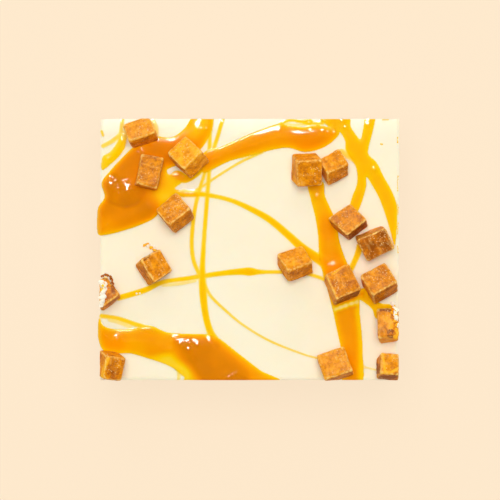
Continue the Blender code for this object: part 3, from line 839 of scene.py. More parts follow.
    def kept(self, x: np.ndarray, y: np.ndarray) -> np.ndarray:
        """Measures how far inside the caramel's edge and the knife cuts places lie.

        Args:
            x: The places along the slice.
            y: The places across it.

        Returns:
            The distance at each place, below zero outside.
        """
        right = CHOCOLATE_CORNERS[1][0] + self.past_right_cut
        inset = np.minimum(SIDE_CUT - np.abs(y), right - x)
        return np.minimum(self.grid.read(self.margin, x, y), inset)


def srgb(hex_code: str) -> tuple[float, float, float, float]:
    """Turns a colour to linear.

    Args:
        hex_code: The colour as six sRGB hex digits.

    Returns:
        The linear colour, with full alpha.
    """
    channels = [int(hex_code[i : i + 2], 16) / 255 for i in (0, 2, 4)]
    linear = [c / 12.92 if c <= 0.04045 else ((c + 0.055) / 1.055) ** 2.4 for c in channels]
    return (linear[0], linear[1], linear[2], 1.0)


def wire(
    tree: bpy.types.NodeTree,
    node: bpy.types.Node,
    settings: dict | None = None,
    links: dict | None = None,
) -> bpy.types.Node:
    """Gives one node of a material its settings and its links.

    Args:
        tree: The material's node tree.
        node: The node.
        settings: The node's own settings, and its inputs' values under their names or numbers.
        links: The output that feeds each input, under the input's name or number.

    Returns:
        The same node.
    """
    for name, value in (settings or {}).items():
        if isinstance(name, str) and hasattr(node, name):
            setattr(node, name, value)
        else:
            node.inputs[name].default_value = value
    for name, source in (links or {}).items():
        tree.links.new(source, node.inputs[name])
    return node


def add_node(
    tree: bpy.types.NodeTree, kind: str, settings: dict | None = None, links: dict | None = None
) -> bpy.types.Node:
    """Adds one node of this kind to a material, with its settings and links as wire takes them."""
    return wire(tree, tree.nodes.new(kind), settings, links)


def set_ramp(ramp_node: bpy.types.Node, stops: tuple) -> None:
    """Gives a Color Ramp node its stops.

    Args:
        ramp_node: The node.
        stops: For each stop its position and its colour in sRGB hex.
    """
    ramp = ramp_node.color_ramp
    while len(ramp.elements) < len(stops):
        ramp.elements.new(1.0)
    for element, (position, colour) in zip(ramp.elements, stops):
        element.position = position
        element.color = srgb(colour)


def new_material(name: str) -> tuple[bpy.types.Material, bpy.types.NodeTree, bpy.types.Node]:
    """Starts a material.

    Args:
        name: Its name.

    Returns:
        The material, its node tree and its Principled BSDF.
    """
    material = bpy.data.materials.new(name)
    material.use_nodes = True
    tree = material.node_tree
    return material, tree, tree.nodes["Principled BSDF"]


def per_mm(size: float) -> float:
    """The scale of a pattern on Object coordinates whose features are this many millimetres wide."""
    return 1 / (size * MM)


@dataclass(frozen=True)
class WhiteChocolate:
    """White chocolate, poured and set: ivory, close and waxy, with a soft sheen.

    Cocoa butter scatters light under the skin, so its edges glow a little.
    """

    name: str = "poured_white_chocolate"
    ivory: str = "FDEFCF"
    cream: str = "FFF3DA"
    patch_size: float = 14.0
    skin_size: float = 1.1
    skin_relief: float = 0.06
    roughness: float = 0.42
    scatter: float = 0.4

    def make(self) -> bpy.types.Material:
        """Makes the material.

        Returns:
            The finish as a material.
        """
        material, tree, shader = new_material(self.name)
        place = add_node(tree, "ShaderNodeTexCoord").outputs["Object"]
        patch_settings = {"Scale": per_mm(self.patch_size)}
        patches = add_node(tree, "ShaderNodeTexNoise", patch_settings, {"Vector": place})
        colours = {MIX_A: srgb(self.ivory), MIX_B: srgb(self.cream), "data_type": "RGBA"}
        colour = add_node(tree, "ShaderNodeMix", colours, {0: patches.outputs["Fac"]})
        skin_settings = {"Scale": per_mm(self.skin_size), "Detail": 3.0}
        skin = add_node(tree, "ShaderNodeTexNoise", skin_settings, {"Vector": place})
        bump_settings = {"Strength": 0.12, "Distance": self.skin_relief * MM}
        bump = add_node(tree, "ShaderNodeBump", bump_settings, {"Height": skin.outputs["Fac"]})
        finish = {
            "Roughness": self.roughness,
            "IOR": 1.46,
            "Specular IOR Level": 0.2,
            "Subsurface Weight": self.scatter,
            "Subsurface Radius": (1.0, 0.75, 0.5),
            "Subsurface Scale": 1.4 * MM,
        }
        finish_links = {"Base Color": colour.outputs[MIX_RESULT], "Normal": bump.outputs["Normal"]}
        wire(tree, shader, finish, finish_links)
        return material


@dataclass(frozen=True)
class PouredCaramel:
    """Soft caramel, poured warm: clear and glossy, yellow where thin and deep orange where thick."""

    deepest: float = 2.6
    stops: tuple = (
        (0.00, "FFEDB4"),
        (0.05, "FFE07A"),
        (0.11, "FFD532"),
        (0.16, "FFCC04"),
        (0.22, "FFC000"),
        (0.30, "FDAE00"),
        (0.40, "FA9D00"),
        (0.50, "F18E00"),
        (0.64, "DE8000"),
        (0.90, "CE760C"),
    )
    cloud_size: float = 6.0
    cloud_share: float = 0.2
    roughness: float = 0.085

    def make(self) -> bpy.types.Material:
        """Makes the material. It reads each place's depth in millimetres, which at a few swells is painted
        shallower for a highlight and deeper for shade.

        Returns:
            The finish as a material.
        """
        material, tree, shader = new_material("poured_caramel")
        place = add_node(tree, "ShaderNodeTexCoord").outputs["Object"]
        depth = add_node(tree, "ShaderNodeAttribute", {"attribute_name": "depth"}).outputs["Fac"]
        cloud_settings = {"Scale": per_mm(self.cloud_size), "Detail": 3.0}
        cloud = add_node(tree, "ShaderNodeTexNoise", cloud_settings, {"Vector": place})
        share_settings = {
            "To Min": (1 - self.cloud_share) / self.deepest,
            "To Max": (1 + self.cloud_share) / self.deepest,
        }
        share = add_node(tree, "ShaderNodeMapRange", share_settings, {"Value": cloud.outputs["Fac"]})
        level_links = {0: depth, 1: share.outputs[0]}
        level = add_node(tree, "ShaderNodeMath", {"operation": "MULTIPLY"}, level_links)
        ramp = add_node(tree, "ShaderNodeValToRGB", {}, {"Fac": level.outputs[0]})
        set_ramp(ramp, self.stops)
        finish = {
            "Roughness": self.roughness,
            "IOR": 1.47,
            "Specular IOR Level": 0.2,
            "Subsurface Weight": 0.15,
            "Subsurface Radius": (1.0, 0.5, 0.1),
            "Subsurface Scale": 0.5 * MM,
        }
        wire(tree, shader, finish, {"Base Color": ramp.outputs["Color"]})
        return material


@dataclass(frozen=True)
class FudgeFinish:
    """Butter fudge, cut from a slab: amber, grainy and a little moist, with pale rubbed edges that are
    partly painted edge highlight.

    Sugar crystals show as pale specks, which also stand as painted glints, and the pits between the grains
    are brown; the darkest browns also carry painted shade.
    """

    light: str = "FFB824"
    amber: str = "EE930A"
    brown: str = "C06814"
    pit_and_shade: str = "9A5010"
    worn_and_lit: str = "FFD070"
    crystal_and_glint: str = "FFE196"
    mottle_size: float = 1.6
    grain_size: float = 0.5
    grain_share: float = 0.4
    grain_relief: float = 0.14
    crystal_size: float = 0.55
    crystal_strength: float = 0.62
    cluster_size: float = 2.2

    def make(self) -> bpy.types.Material:
        """Makes the material. It reads how worn and painted lit each place is, and how dark its face is,
        painted shade included.

        Returns:
            The finish as a material.
        """
        material, tree, shader = new_material("cut_butter_fudge")
        place = add_node(tree, "ShaderNodeTexCoord").outputs["Object"]
        worn_and_lit = add_node(tree, "ShaderNodeAttribute", {"attribute_name": "worn_and_lit"}).outputs["Fac"]
        tone = add_node(tree, "ShaderNodeAttribute", {"attribute_name": "tone"}).outputs["Fac"]
        # The colour follows two grains, one coarse and one fine, and the tone of each face, which carries
        # painted shade on upright and near faces.
        mottle_settings = {"Scale": per_mm(self.mottle_size), "Detail": 4.0, "Roughness": 0.7}
        mottle = add_node(tree, "ShaderNodeTexNoise", mottle_settings, {"Vector": place})
        grain_settings = {"Scale": per_mm(self.grain_size), "Detail": 2.0, "Roughness": 0.5}
        grain = add_node(tree, "ShaderNodeTexNoise", grain_settings, {"Vector": place})
        mixed_settings = {"operation": "MULTIPLY_ADD", 1: self.grain_share}
        mixed_links = {0: grain.outputs["Fac"], 2: mottle.outputs["Fac"]}
        mixed = add_node(tree, "ShaderNodeMath", mixed_settings, mixed_links)
        toned = add_node(tree, "ShaderNodeMath", {"operation": "ADD"}, {0: mixed.outputs[0], 1: tone})
        spread_settings = {"From Min": 0.41, "From Max": 1.18}
        spread = add_node(tree, "ShaderNodeMapRange", spread_settings, {"Value": toned.outputs[0]})
        base = add_node(tree, "ShaderNodeValToRGB", {}, {"Fac": spread.outputs[0]})
        set_ramp(base, ((0.0, self.light), (0.38, self.amber), (0.75, self.brown), (1.0, self.pit_and_shade)))
        rubbed_settings = {MIX_B: srgb(self.worn_and_lit), "data_type": "RGBA"}
        rubbed_and_lit = add_node(tree, "ShaderNodeMix", rubbed_settings, {0: worn_and_lit, MIX_A: base.outputs["Color"]})
        # Sugar crystals, in clusters, painted as pale specks that also stand as painted glints off the
        # grains. Real ones are finer, and these are as coarse as they need to show.
        crystal_settings = {"Scale": per_mm(self.crystal_size), "Randomness": 1.0}
        crystals = add_node(tree, "ShaderNodeTexVoronoi", crystal_settings, {"Vector": place})
        speck_settings = {"From Min": 0.38, "From Max": 0.16, "To Max": self.crystal_strength}
        speck_links = {"Value": crystals.outputs["Distance"]}
        speck = add_node(tree, "ShaderNodeMapRange", speck_settings, speck_links)
        cluster_settings = {"Scale": per_mm(self.cluster_size), "Detail": 3.0}
        clusters = add_node(tree, "ShaderNodeTexNoise", cluster_settings, {"Vector": place})
        often_settings = {"From Min": 0.47, "From Max": 0.63}
        often = add_node(tree, "ShaderNodeMapRange", often_settings, {"Value": clusters.outputs["Fac"]})
        shown_links = {0: speck.outputs[0], 1: often.outputs[0]}
        shown = add_node(tree, "ShaderNodeMath", {"operation": "MULTIPLY"}, shown_links)
        colour_settings = {MIX_B: srgb(self.crystal_and_glint), "data_type": "RGBA"}
        colour_links = {0: shown.outputs[0], MIX_A: rubbed_and_lit.outputs[MIX_RESULT]}
        colour = add_node(tree, "ShaderNodeMix", colour_settings, colour_links)
        bump_settings = {"Strength": 0.6, "Distance": self.grain_relief * MM}
        bump = add_node(tree, "ShaderNodeBump", bump_settings, {"Height": grain.outputs["Fac"]})
        finish = {
            "Roughness": 0.4,
            "IOR": 1.45,
            "Specular IOR Level": 0.05,
            "Subsurface Weight": 0.08,
            "Subsurface Radius": (1.0, 0.5, 0.2),
            "Subsurface Scale": 0.4 * MM,
        }
        finish_links = {"Base Color": colour.outputs[MIX_RESULT], "Normal": bump.outputs["Normal"]}
        wire(tree, shader, finish, finish_links)
        return material


@dataclass(frozen=True)
class BakedCrumb:
    """Dense baked crumb, cut with a knife: matt golden, browner towards the foot, with dark pores, whose
    darkness is painted shade.
    """

    golden: str = "DDAA60"
    pale: str = "F2CF94"
    browned_and_shaded: str = "9E6026"
    patch_size: float = 1.7
    crumb_size: float = 0.9
    crumb_relief: float = 0.45
    hole_size: float = 1.2
    crust_height: float = 3.4
    crust_foot: float = 0.4

    def make(self) -> bpy.types.Material:
        """Makes the material. It reads how deep in a pore each place lies, for the painted shade in the
        pores.

        Returns:
            The finish as a material.
        """
        material, tree, shader = new_material("baked_blondie_crumb")
        place = add_node(tree, "ShaderNodeTexCoord").outputs["Object"]
        pore = add_node(tree, "ShaderNodeAttribute", {"attribute_name": "pore"}).outputs["Fac"]
        patch_settings = {"Scale": per_mm(self.patch_size), "Detail": 7.0, "Roughness": 0.65}
        patches = add_node(tree, "ShaderNodeTexNoise", patch_settings, {"Vector": place})
        spread_settings = {"From Min": 0.38, "From Max": 0.62}
        spread = add_node(tree, "ShaderNodeMapRange", spread_settings, {"Value": patches.outputs["Fac"]})
        inside_settings = {MIX_A: srgb(self.golden), MIX_B: srgb(self.pale), "data_type": "RGBA"}
        inside = add_node(tree, "ShaderNodeMix", inside_settings, {0: spread.outputs[0]})
        up = add_node(tree, "ShaderNodeSeparateXYZ", {}, {0: place})
        crust_settings = {
            "From Min": self.crust_height * MM,
            "From Max": self.crust_foot * MM,
            "To Max": 0.85,
        }
        crust = add_node(tree, "ShaderNodeMapRange", crust_settings, {"Value": up.outputs["Z"]})
        # Painted shade: the carved pores, and the small holes of the Voronoi pattern below, take the
        # browned colour of the crust, as shade inside them.
        crust_and_pore_shade = add_node(tree, "ShaderNodeMath", {"operation": "MAXIMUM"}, {0: crust.outputs[0], 1: pore})
        holes = add_node(tree, "ShaderNodeTexVoronoi", {"Scale": per_mm(self.hole_size)}, {"Vector": place})
        hole_settings = {"From Min": 0.26, "From Max": 0.12, "To Max": 0.6}
        hole = add_node(tree, "ShaderNodeMapRange", hole_settings, {"Value": holes.outputs["Distance"]})
        darker_links = {0: crust_and_pore_shade.outputs[0], 1: hole.outputs[0]}
        darker = add_node(tree, "ShaderNodeMath", {"operation": "MAXIMUM"}, darker_links)
        colour_settings = {MIX_B: srgb(self.browned_and_shaded), "data_type": "RGBA"}
        colour_links = {0: darker.outputs[0], MIX_A: inside.outputs[MIX_RESULT]}
        colour = add_node(tree, "ShaderNodeMix", colour_settings, colour_links)
        crumb_settings = {"Scale": per_mm(self.crumb_size), "Detail": 7.0, "Roughness": 0.7}
        crumb = add_node(tree, "ShaderNodeTexNoise", crumb_settings, {"Vector": place})
        bump_settings = {"Strength": 1.0, "Distance": self.crumb_relief * MM}
        bump = add_node(tree, "ShaderNodeBump", bump_settings, {"Height": crumb.outputs["Fac"]})
        finish = {
            "Roughness": 0.8,
            "IOR": 1.4,
            "Subsurface Weight": 0.1,
            "Subsurface Radius": (1.0, 0.6, 0.3),
            "Subsurface Scale": 0.8 * MM,
        }
        finish_links = {"Base Color": colour.outputs[MIX_RESULT], "Normal": bump.outputs["Normal"]}
        wire(tree, shader, finish, finish_links)
        return material


@dataclass(frozen=True)
class StudioFloor:
    """Matt peach paper on a light table, so that shadows on it stay faint."""

    paper: str = "5B5349"
    lit: str = "FFEACD"
    glow: float = 0.88
    fibre_size: float = 0.8
    fibre_relief: float = 0.02

    def make(self) -> bpy.types.Material:
        """Makes the material.

        Returns:
            The finish as a material.
        """
        material, tree, shader = new_material("backlit_peach_paper")
        place = add_node(tree, "ShaderNodeTexCoord").outputs["Object"]
        fibre = add_node(tree, "ShaderNodeTexNoise", {"Scale": per_mm(self.fibre_size)}, {"Vector": place})
        bump_settings = {"Strength": 0.03, "Distance": self.fibre_relief * MM}
        bump = add_node(tree, "ShaderNodeBump", bump_settings, {"Height": fibre.outputs["Fac"]})
        finish = {
            "Base Color": srgb(self.paper),
            "Emission Color": srgb(self.lit),
            "Emission Strength": self.glow,
            "Roughness": 0.9,
            "Specular IOR Level": 0.1,
        }
        wire(tree, shader, finish, {"Normal": bump.outputs["Normal"]})
        return material


def dress(obj: bpy.types.Object, material: bpy.types.Material) -> None:
    """Gives a piece its finish and its ride on the slice.

    Args:
        obj: The piece.
        material: Its finish.
    """
    obj.data.materials.clear()
    obj.data.materials.append(material)
    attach(obj, "root")
    log_piece(obj)


@dataclass
class BakedBody:
    """The baked body: knife-cut walls of close crumb, with hollows, crags and small pores."""

    half_length: float = 39.75
    half_width: float = 34.75
    edge_step: float = 0.42
    rise_step: float = 0.4
    corner_radius: float = 1.2
    foot_radius: float = 1.0
    foot_share: float = 0.8
    hollow_depth: float = 0.35
    hollow_size: float = 8.0
    crag_depth: float = 0.4
    crag_size: float = 1.9
    pore_spacing: float = 2.1
    pore_radius: float = 0.85
    pore_spread: float = 1.5
    pore_shortfall: float = 0.45
    pore_shuffle: float = 3.7
    pore_depth: float = 0.8
    pore_shade: float = 0.55

    def build(self, finish: BakedCrumb) -> bpy.types.Object:
        """Models the body and puts it in its solid's place.

        Args:
            finish: The crumb's finish.

        Returns:
            The finished piece.
        """
        body = self._raise_walls()
        self._carve(body)
        shade(body, degrees=60)
        dress(body, finish.make())
        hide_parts("blondie_body")
        return body

    def _raise_walls(self) -> bpy.types.Object:
        """Fills a ring of fine steps round the foot and extrudes it up in thin layers.

        Returns:
            The body with plain walls.
        """
        deselect_all()
        bpy.ops.mesh.primitive_plane_add(size=1.0, location=(0, 0, 0))
        body = bpy.context.object
        body.name = "baked_body"
        body.scale = (2 * self.half_length * MM, 2 * self.half_width * MM, 1.0)
        bpy.ops.object.transform_apply(location=False, rotation=False, scale=True)
        bpy.ops.object.mode_set(mode="EDIT")
        bpy.ops.mesh.select_mode(type="EDGE")
        bpy.ops.mesh.select_all(action="SELECT")
        bpy.ops.mesh.delete(type="ONLY_FACE")
        bpy.ops.mesh.select_all(action="SELECT")
        bpy.ops.mesh.subdivide(number_cuts=round(2 * self.half_length / self.edge_step))
        bpy.ops.mesh.select_all(action="SELECT")
        bpy.ops.mesh.edge_face_add()
        extrude(CHOCOLATE_BASE, round(CHOCOLATE_BASE / self.rise_step))
        finish_editing()
        return body

    def _carve(self, body: bpy.types.Object) -> None:
        """Rounds the corners and the foot, carves the crumb into the walls, and paints shade into the
        pores.

        Args:
            body: The body with plain walls.
        """
        points = vertices_of(body)
        half = np.array([self.half_length, self.half_width])
        flat = points[:, :2]
        corner = np.abs(flat) - (half - self.corner_radius)
        at_corner = (corner > 0).all(axis=1)
        length = np.linalg.norm(np.maximum(corner, 0), axis=1)
        draw_in = self.corner_radius / np.maximum(length, 1e-9)
        pulled = (half - self.corner_radius) + corner * draw_in[:, None]
        flat[at_corner] = (np.sign(flat) * pulled)[at_corner]
        foot = np.clip(1 - points[:, 2] / self.foot_radius, 0, 1)
        depth = self.foot_radius * (1 - np.sqrt(1 - foot**2)) * self.foot_share
        depth += self.hollow_depth * (0.5 + 0.5 * noise_at(points, self.hollow_size))
        depth += self.crag_depth * (0.5 + 0.5 * noise_at(points, self.crag_size, seed=5.0))
        pores = self._pores(points)
        depth += self.pore_depth * pores
        flat *= 1 - depth[:, None] / half
        move_vertices(body, points)
        paint(body, "pore", self.pore_shade * pores)

    def _pores(self, points: np.ndarray) -> np.ndarray:
        """Works out how deep in a pore places lie.

        Args:
            points: The places, one row each.

        Returns:
            For each place, from 0 outside a pore to 1 at its middle.
        """
        depths = []
        for place in (points / self.pore_spacing).tolist():
            distances, centres = noise.voronoi(place)
            size = 0.5 + 0.5 * noise.noise(centres[0] * self.pore_shuffle)
            radius = self.pore_radius * (self.pore_spread * size - self.pore_shortfall) / self.pore_spacing
            depths.append(max(0.0, 1 - (distances[0] / radius) ** 2) if radius > 0 else 0.0)
        return np.array(depths)


@dataclass
class ChocolateSlab:
    """The white chocolate layer: a poured face, knife-cut sides and a flat underside."""

    surface: ChocolateSurface
    step: float = 0.37
    # The cut walls: their layers, and how far from the face and the underside they count as wall.
    wall_steps: int = 9
    wall_share: float = 0.93
    face_band: float = 0.35
    under_share: float = 0.97
    under_band: float = 0.1
    # How far the cuts waver in plan, and how soon that dies away inwards.
    waver: float = 0.12
    waver_size: float = 6.0
    waver_falloff: int = 24
    wall_roughness: float = 0.07
    grain_size: float = 0.9
    streak_size: float = 2.2
    streak_stretch: float = 0.3

    def build(self, material: bpy.types.Material) -> bpy.types.Object:
        """Models the layer and puts it in its solid's place.

        Args:
            material: The chocolate's material.

        Returns:
            The finished piece.
        """
        deselect_all()
        columns = round(2 * -LEFT_CUT / self.step)
        rows = round(2 * SIDE_CUT / self.step)
        bpy.ops.mesh.primitive_grid_add(x_subdivisions=columns, y_subdivisions=rows, size=2.0)
        slab = bpy.context.object
        slab.name = "white_chocolate_slab"
        self._form_face(slab)
        self._drop_walls(slab)
        shade(slab, degrees=50)
        dress(slab, material)
        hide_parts("white_chocolate_topping")
        return slab

    def _form_face(self, slab: bpy.types.Object) -> None:
        """Spreads the grid between the slab's corners and gives it the poured surface.

        Args:
            slab: The flat grid, from -1 to 1 along each side.
        """
        unit = vertices_of(slab) * MM
        u, v = (unit[:, :1] + 1) / 2, (unit[:, 1:2] + 1) / 2
        near_left, near_right, far_right, far_left = np.array(CHOCOLATE_CORNERS)
        near = near_left * (1 - u) + near_right * u
        far = far_left * (1 - u) + far_right * u
        flat = near * (1 - v) + far * v
        placed = on_plan(flat[:, 0], flat[:, 1])
        edge = np.abs(unit[:, :2]) ** self.waver_falloff * np.sign(unit[:, :2])
        stray = [noise_at(placed, self.waver_size, seed) for seed in (1.3, 9.1)]
        placed[:, :2] += self.waver * np.column_stack(stray) * edge
        placed[:, 2] = TOP + self.surface.height(placed[:, 0], placed[:, 1])
        move_vertices(slab, placed)

    def _drop_walls(self, slab: bpy.types.Object) -> None:
        """Extrudes the rim down to the underside in steps, closes it, and roughens the cut sides.

        Args:
            slab: The slab's face.
        """
        depth = (TOP - CHOCOLATE_BASE) * self.wall_share
        make_active(slab)
        bpy.ops.object.mode_set(mode="EDIT")
        bpy.ops.mesh.select_mode(type="EDGE")
        bpy.ops.mesh.select_all(action="DESELECT")
        bpy.ops.mesh.select_non_manifold()
        extrude(-depth, self.wall_steps)
        bpy.ops.mesh.edge_face_add()
        finish_editing()
        points = vertices_of(slab)
        under = points[:, 2] < TOP - depth * self.under_share - self.under_band
        points[under, 2] = CHOCOLATE_BASE
        wall = points[:, 2] < TOP - self.face_band
        rough = self.wall_roughness * noise_at(points[wall], self.grain_size, seed=4.0)
        streaks = points[wall] * (1, 1, self.streak_stretch)
        rough += self.wall_roughness * noise_at(streaks, self.streak_size, seed=2.0)
        points[wall, :2] *= 1 + rough[:, None] / np.array([-LEFT_CUT, SIDE_CUT])
        move_vertices(slab, points)


@dataclass
class CaramelSheet:
    """All the poured caramel on top, as one piece with its own edge and height everywhere."""

    caramel: CaramelField
    surface: ChocolateSurface
    # The flat grid's half-length and half-width, and its cells.
    half: tuple = (41.5, 35.5)
    step: float = 0.25
    root: float = 0.35
    ripple: float = 0.035
    ripple_size: float = 2.6
    # How the stepped rim is closed at corners and then drawn onto the true edge.
    fill_passes: int = 20
    snap_passes: int = 3
    nudge: float = 0.05
    least_steepness: float = 0.3
    most_shift: float = 0.3

    def build(self, material: bpy.types.Material) -> bpy.types.Object:
        """Models the caramel.

        Args:
            material: The caramel's material.

        Returns:
            The finished piece.
        """
        sheet = self._cut_plan()
        self._snap_rim(sheet)
        self._raise(sheet)
        shade(sheet, degrees=40)
        dress(sheet, material)
        return sheet

    def _cut_plan(self) -> bpy.types.Object:
        """Lays out a flat grid and deletes every face outside the caramel.

        Returns:
            The flat sheet.
        """
        deselect_all()
        half = self.half
        columns, rows = (round(2 * h / self.step) for h in half)
        bpy.ops.mesh.primitive_grid_add(x_subdivisions=columns, y_subdivisions=rows, size=2.0)
        sheet = bpy.context.object
        sheet.name = "poured_caramel_sheet"
        flat = vertices_of(sheet) * MM * (half[0], half[1], 0)
        move_vertices(sheet, flat)
        x, y = read_vectors(sheet.data.polygons, "center")[:, :2].T / MM
        cell = (2 * half[0] / columns, 2 * half[1] / rows)
        i = np.floor((x + half[0]) / cell[0]).astype(int)
        j = np.floor((y + half[1]) / cell[1]).astype(int)
        kept = np.zeros((rows, columns), bool)
        kept[j, i] = self.caramel.kept(x, y) > 0
        kept = self._without_corner_touches(kept)
        select_faces(sheet, ~kept[j, i])
        bpy.ops.mesh.delete(type="FACE")
        bpy.ops.object.mode_set(mode="OBJECT")
        return sheet

    def _without_corner_touches(self, kept: np.ndarray) -> np.ndarray:
        """Fills one cell wherever two kept cells meet only at a corner.

        Args:
            kept: True for each cell of the grid that is kept.

        Returns:
            The same with the filled cells.
        """
        kept = kept.copy()
        for _ in range(self.fill_passes):
            a, b = kept[:-1, :-1], kept[:-1, 1:]
            c, d = kept[1:, :-1], kept[1:, 1:]
            rising = b & c & ~a & ~d
            falling = a & d & ~b & ~c
            if not rising.any() and not falling.any():
                break
            kept[:-1, :-1] |= rising
            kept[:-1, 1:] |= falling
        return kept

    def _snap_rim(self, sheet: bpy.types.Object) -> None:
        """Moves the stepped rim onto the caramel's true edge.

        Args:
            sheet: The flat sheet.
        """
        points = vertices_of(sheet)
        rim = rim_vertices(sheet)
        x, y = points[rim, 0], points[rim, 1]
        kept, nudge = self.caramel.kept, self.nudge
        for _ in range(self.snap_passes):
            off = kept(x, y)
            along = (kept(x + nudge, y) - kept(x - nudge, y)) / (2 * nudge)
            across = (kept(x, y + nudge) - kept(x, y - nudge)) / (2 * nudge)
            steepness = np.maximum(along**2 + across**2, self.least_steepness)
            shift = np.clip(off / steepness, -self.most_shift, self.most_shift)
            x, y = x - along * shift, y - across * shift
        points[rim, 0], points[rim, 1] = x, y
        move_vertices(sheet, points)

    def _raise(self, sheet: bpy.types.Object) -> None:
        """Gives the sheet its root in the chocolate and its height over it.

        Args:
            sheet: The flat sheet.
        """
        select_faces(sheet, np.ones(len(sheet.data.polygons), bool))
        extrude(1.0, 1)
        finish_editing()
        points = vertices_of(sheet)
        x, y = points[:, 0], points[:, 1]
        upper = points[:, 2] > 0.5
        relief = self.caramel.grid.read(self.caramel.relief, x, y)
        ripple = self.ripple * noise_at(on_plan(x, y), self.ripple_size, seed=2.2) * np.clip(relief, 0, 1)
        ground = TOP + self.surface.height(x, y)
        points[:, 2] = ground + np.where(upper, relief + ripple, -self.root)
        move_vertices(sheet, points)
        paint(sheet, "depth", self.caramel.grid.read(self.caramel.depth, x, y))


@dataclass(frozen=True)
class Drip:
    """Caramel that ran over the left edge: its middle, half-width, drop, and how proud it stands."""

    name: str
    y: float
    half_width: float
    drop: float
    proud: float


@dataclass
class EdgeDrips:
    """The caramel that hangs over the left cut, as rounded runs against the chocolate's side."""

    root: float = 1.6
    crest: float = 0.1
    segments: int = 64
    rings: int = 32
    waver: float = 0.35
    waver_size: float = 2.0
    depth: float = 1.1
    drips: tuple = (
        Drip("far_left_drip", 7.6, 5.2, 3.0, 1.0),
        Drip("near_left_drip", -22.8, 3.2, 2.2, 0.8),
    )

    def build(self, material: bpy.types.Material) -> list[bpy.types.Object]:
        """Models each drip.

        Args:
            material: The caramel's material.

        Returns:
            The finished pieces.
        """
        return [self._run(drip, material) for drip in self.drips]

    def _run(self, drip: Drip, material: bpy.types.Material) -> bpy.types.Object:
        """Models one drip, as a ball drawn out down the side, with an uneven lower end.

        Args:
            drip: The drip's place and size.
            material: The caramel's material.

        Returns:
            The finished piece.
        """
        half_height = (drip.drop + self.crest) / 2
        place = Vector((LEFT_CUT + self.root, drip.y, TOP + self.crest - half_height)) * MM
        deselect_all()
        bpy.ops.mesh.primitive_uv_sphere_add(
            segments=self.segments, ring_count=self.rings, radius=1.0, location=place
        )
        piece = bpy.context.object
        piece.name = drip.name
        piece.scale = Vector((self.root + drip.proud, drip.half_width, half_height)) * MM
        bpy.ops.object.transform_apply(location=True, rotation=False, scale=True)
        points = vertices_of(piece)
        low = np.clip((TOP - points[:, 2]) / drip.drop, 0, 1)
        points[:, 2] -= self.waver * low * noise_at(points * (0, 1, 0), self.waver_size, seed=6.0)
        move_vertices(piece, points)
        paint(piece, "depth", np.full(len(points), self.depth))
        shade(piece, degrees=60)
        dress(piece, material)
        return piece


@dataclass(frozen=True)
class Stroke:
    """A dark or a pale line on one fudge piece: its number, route in plan, half-width and tone."""

    number: int
    route: tuple
    width: float
    tone: float


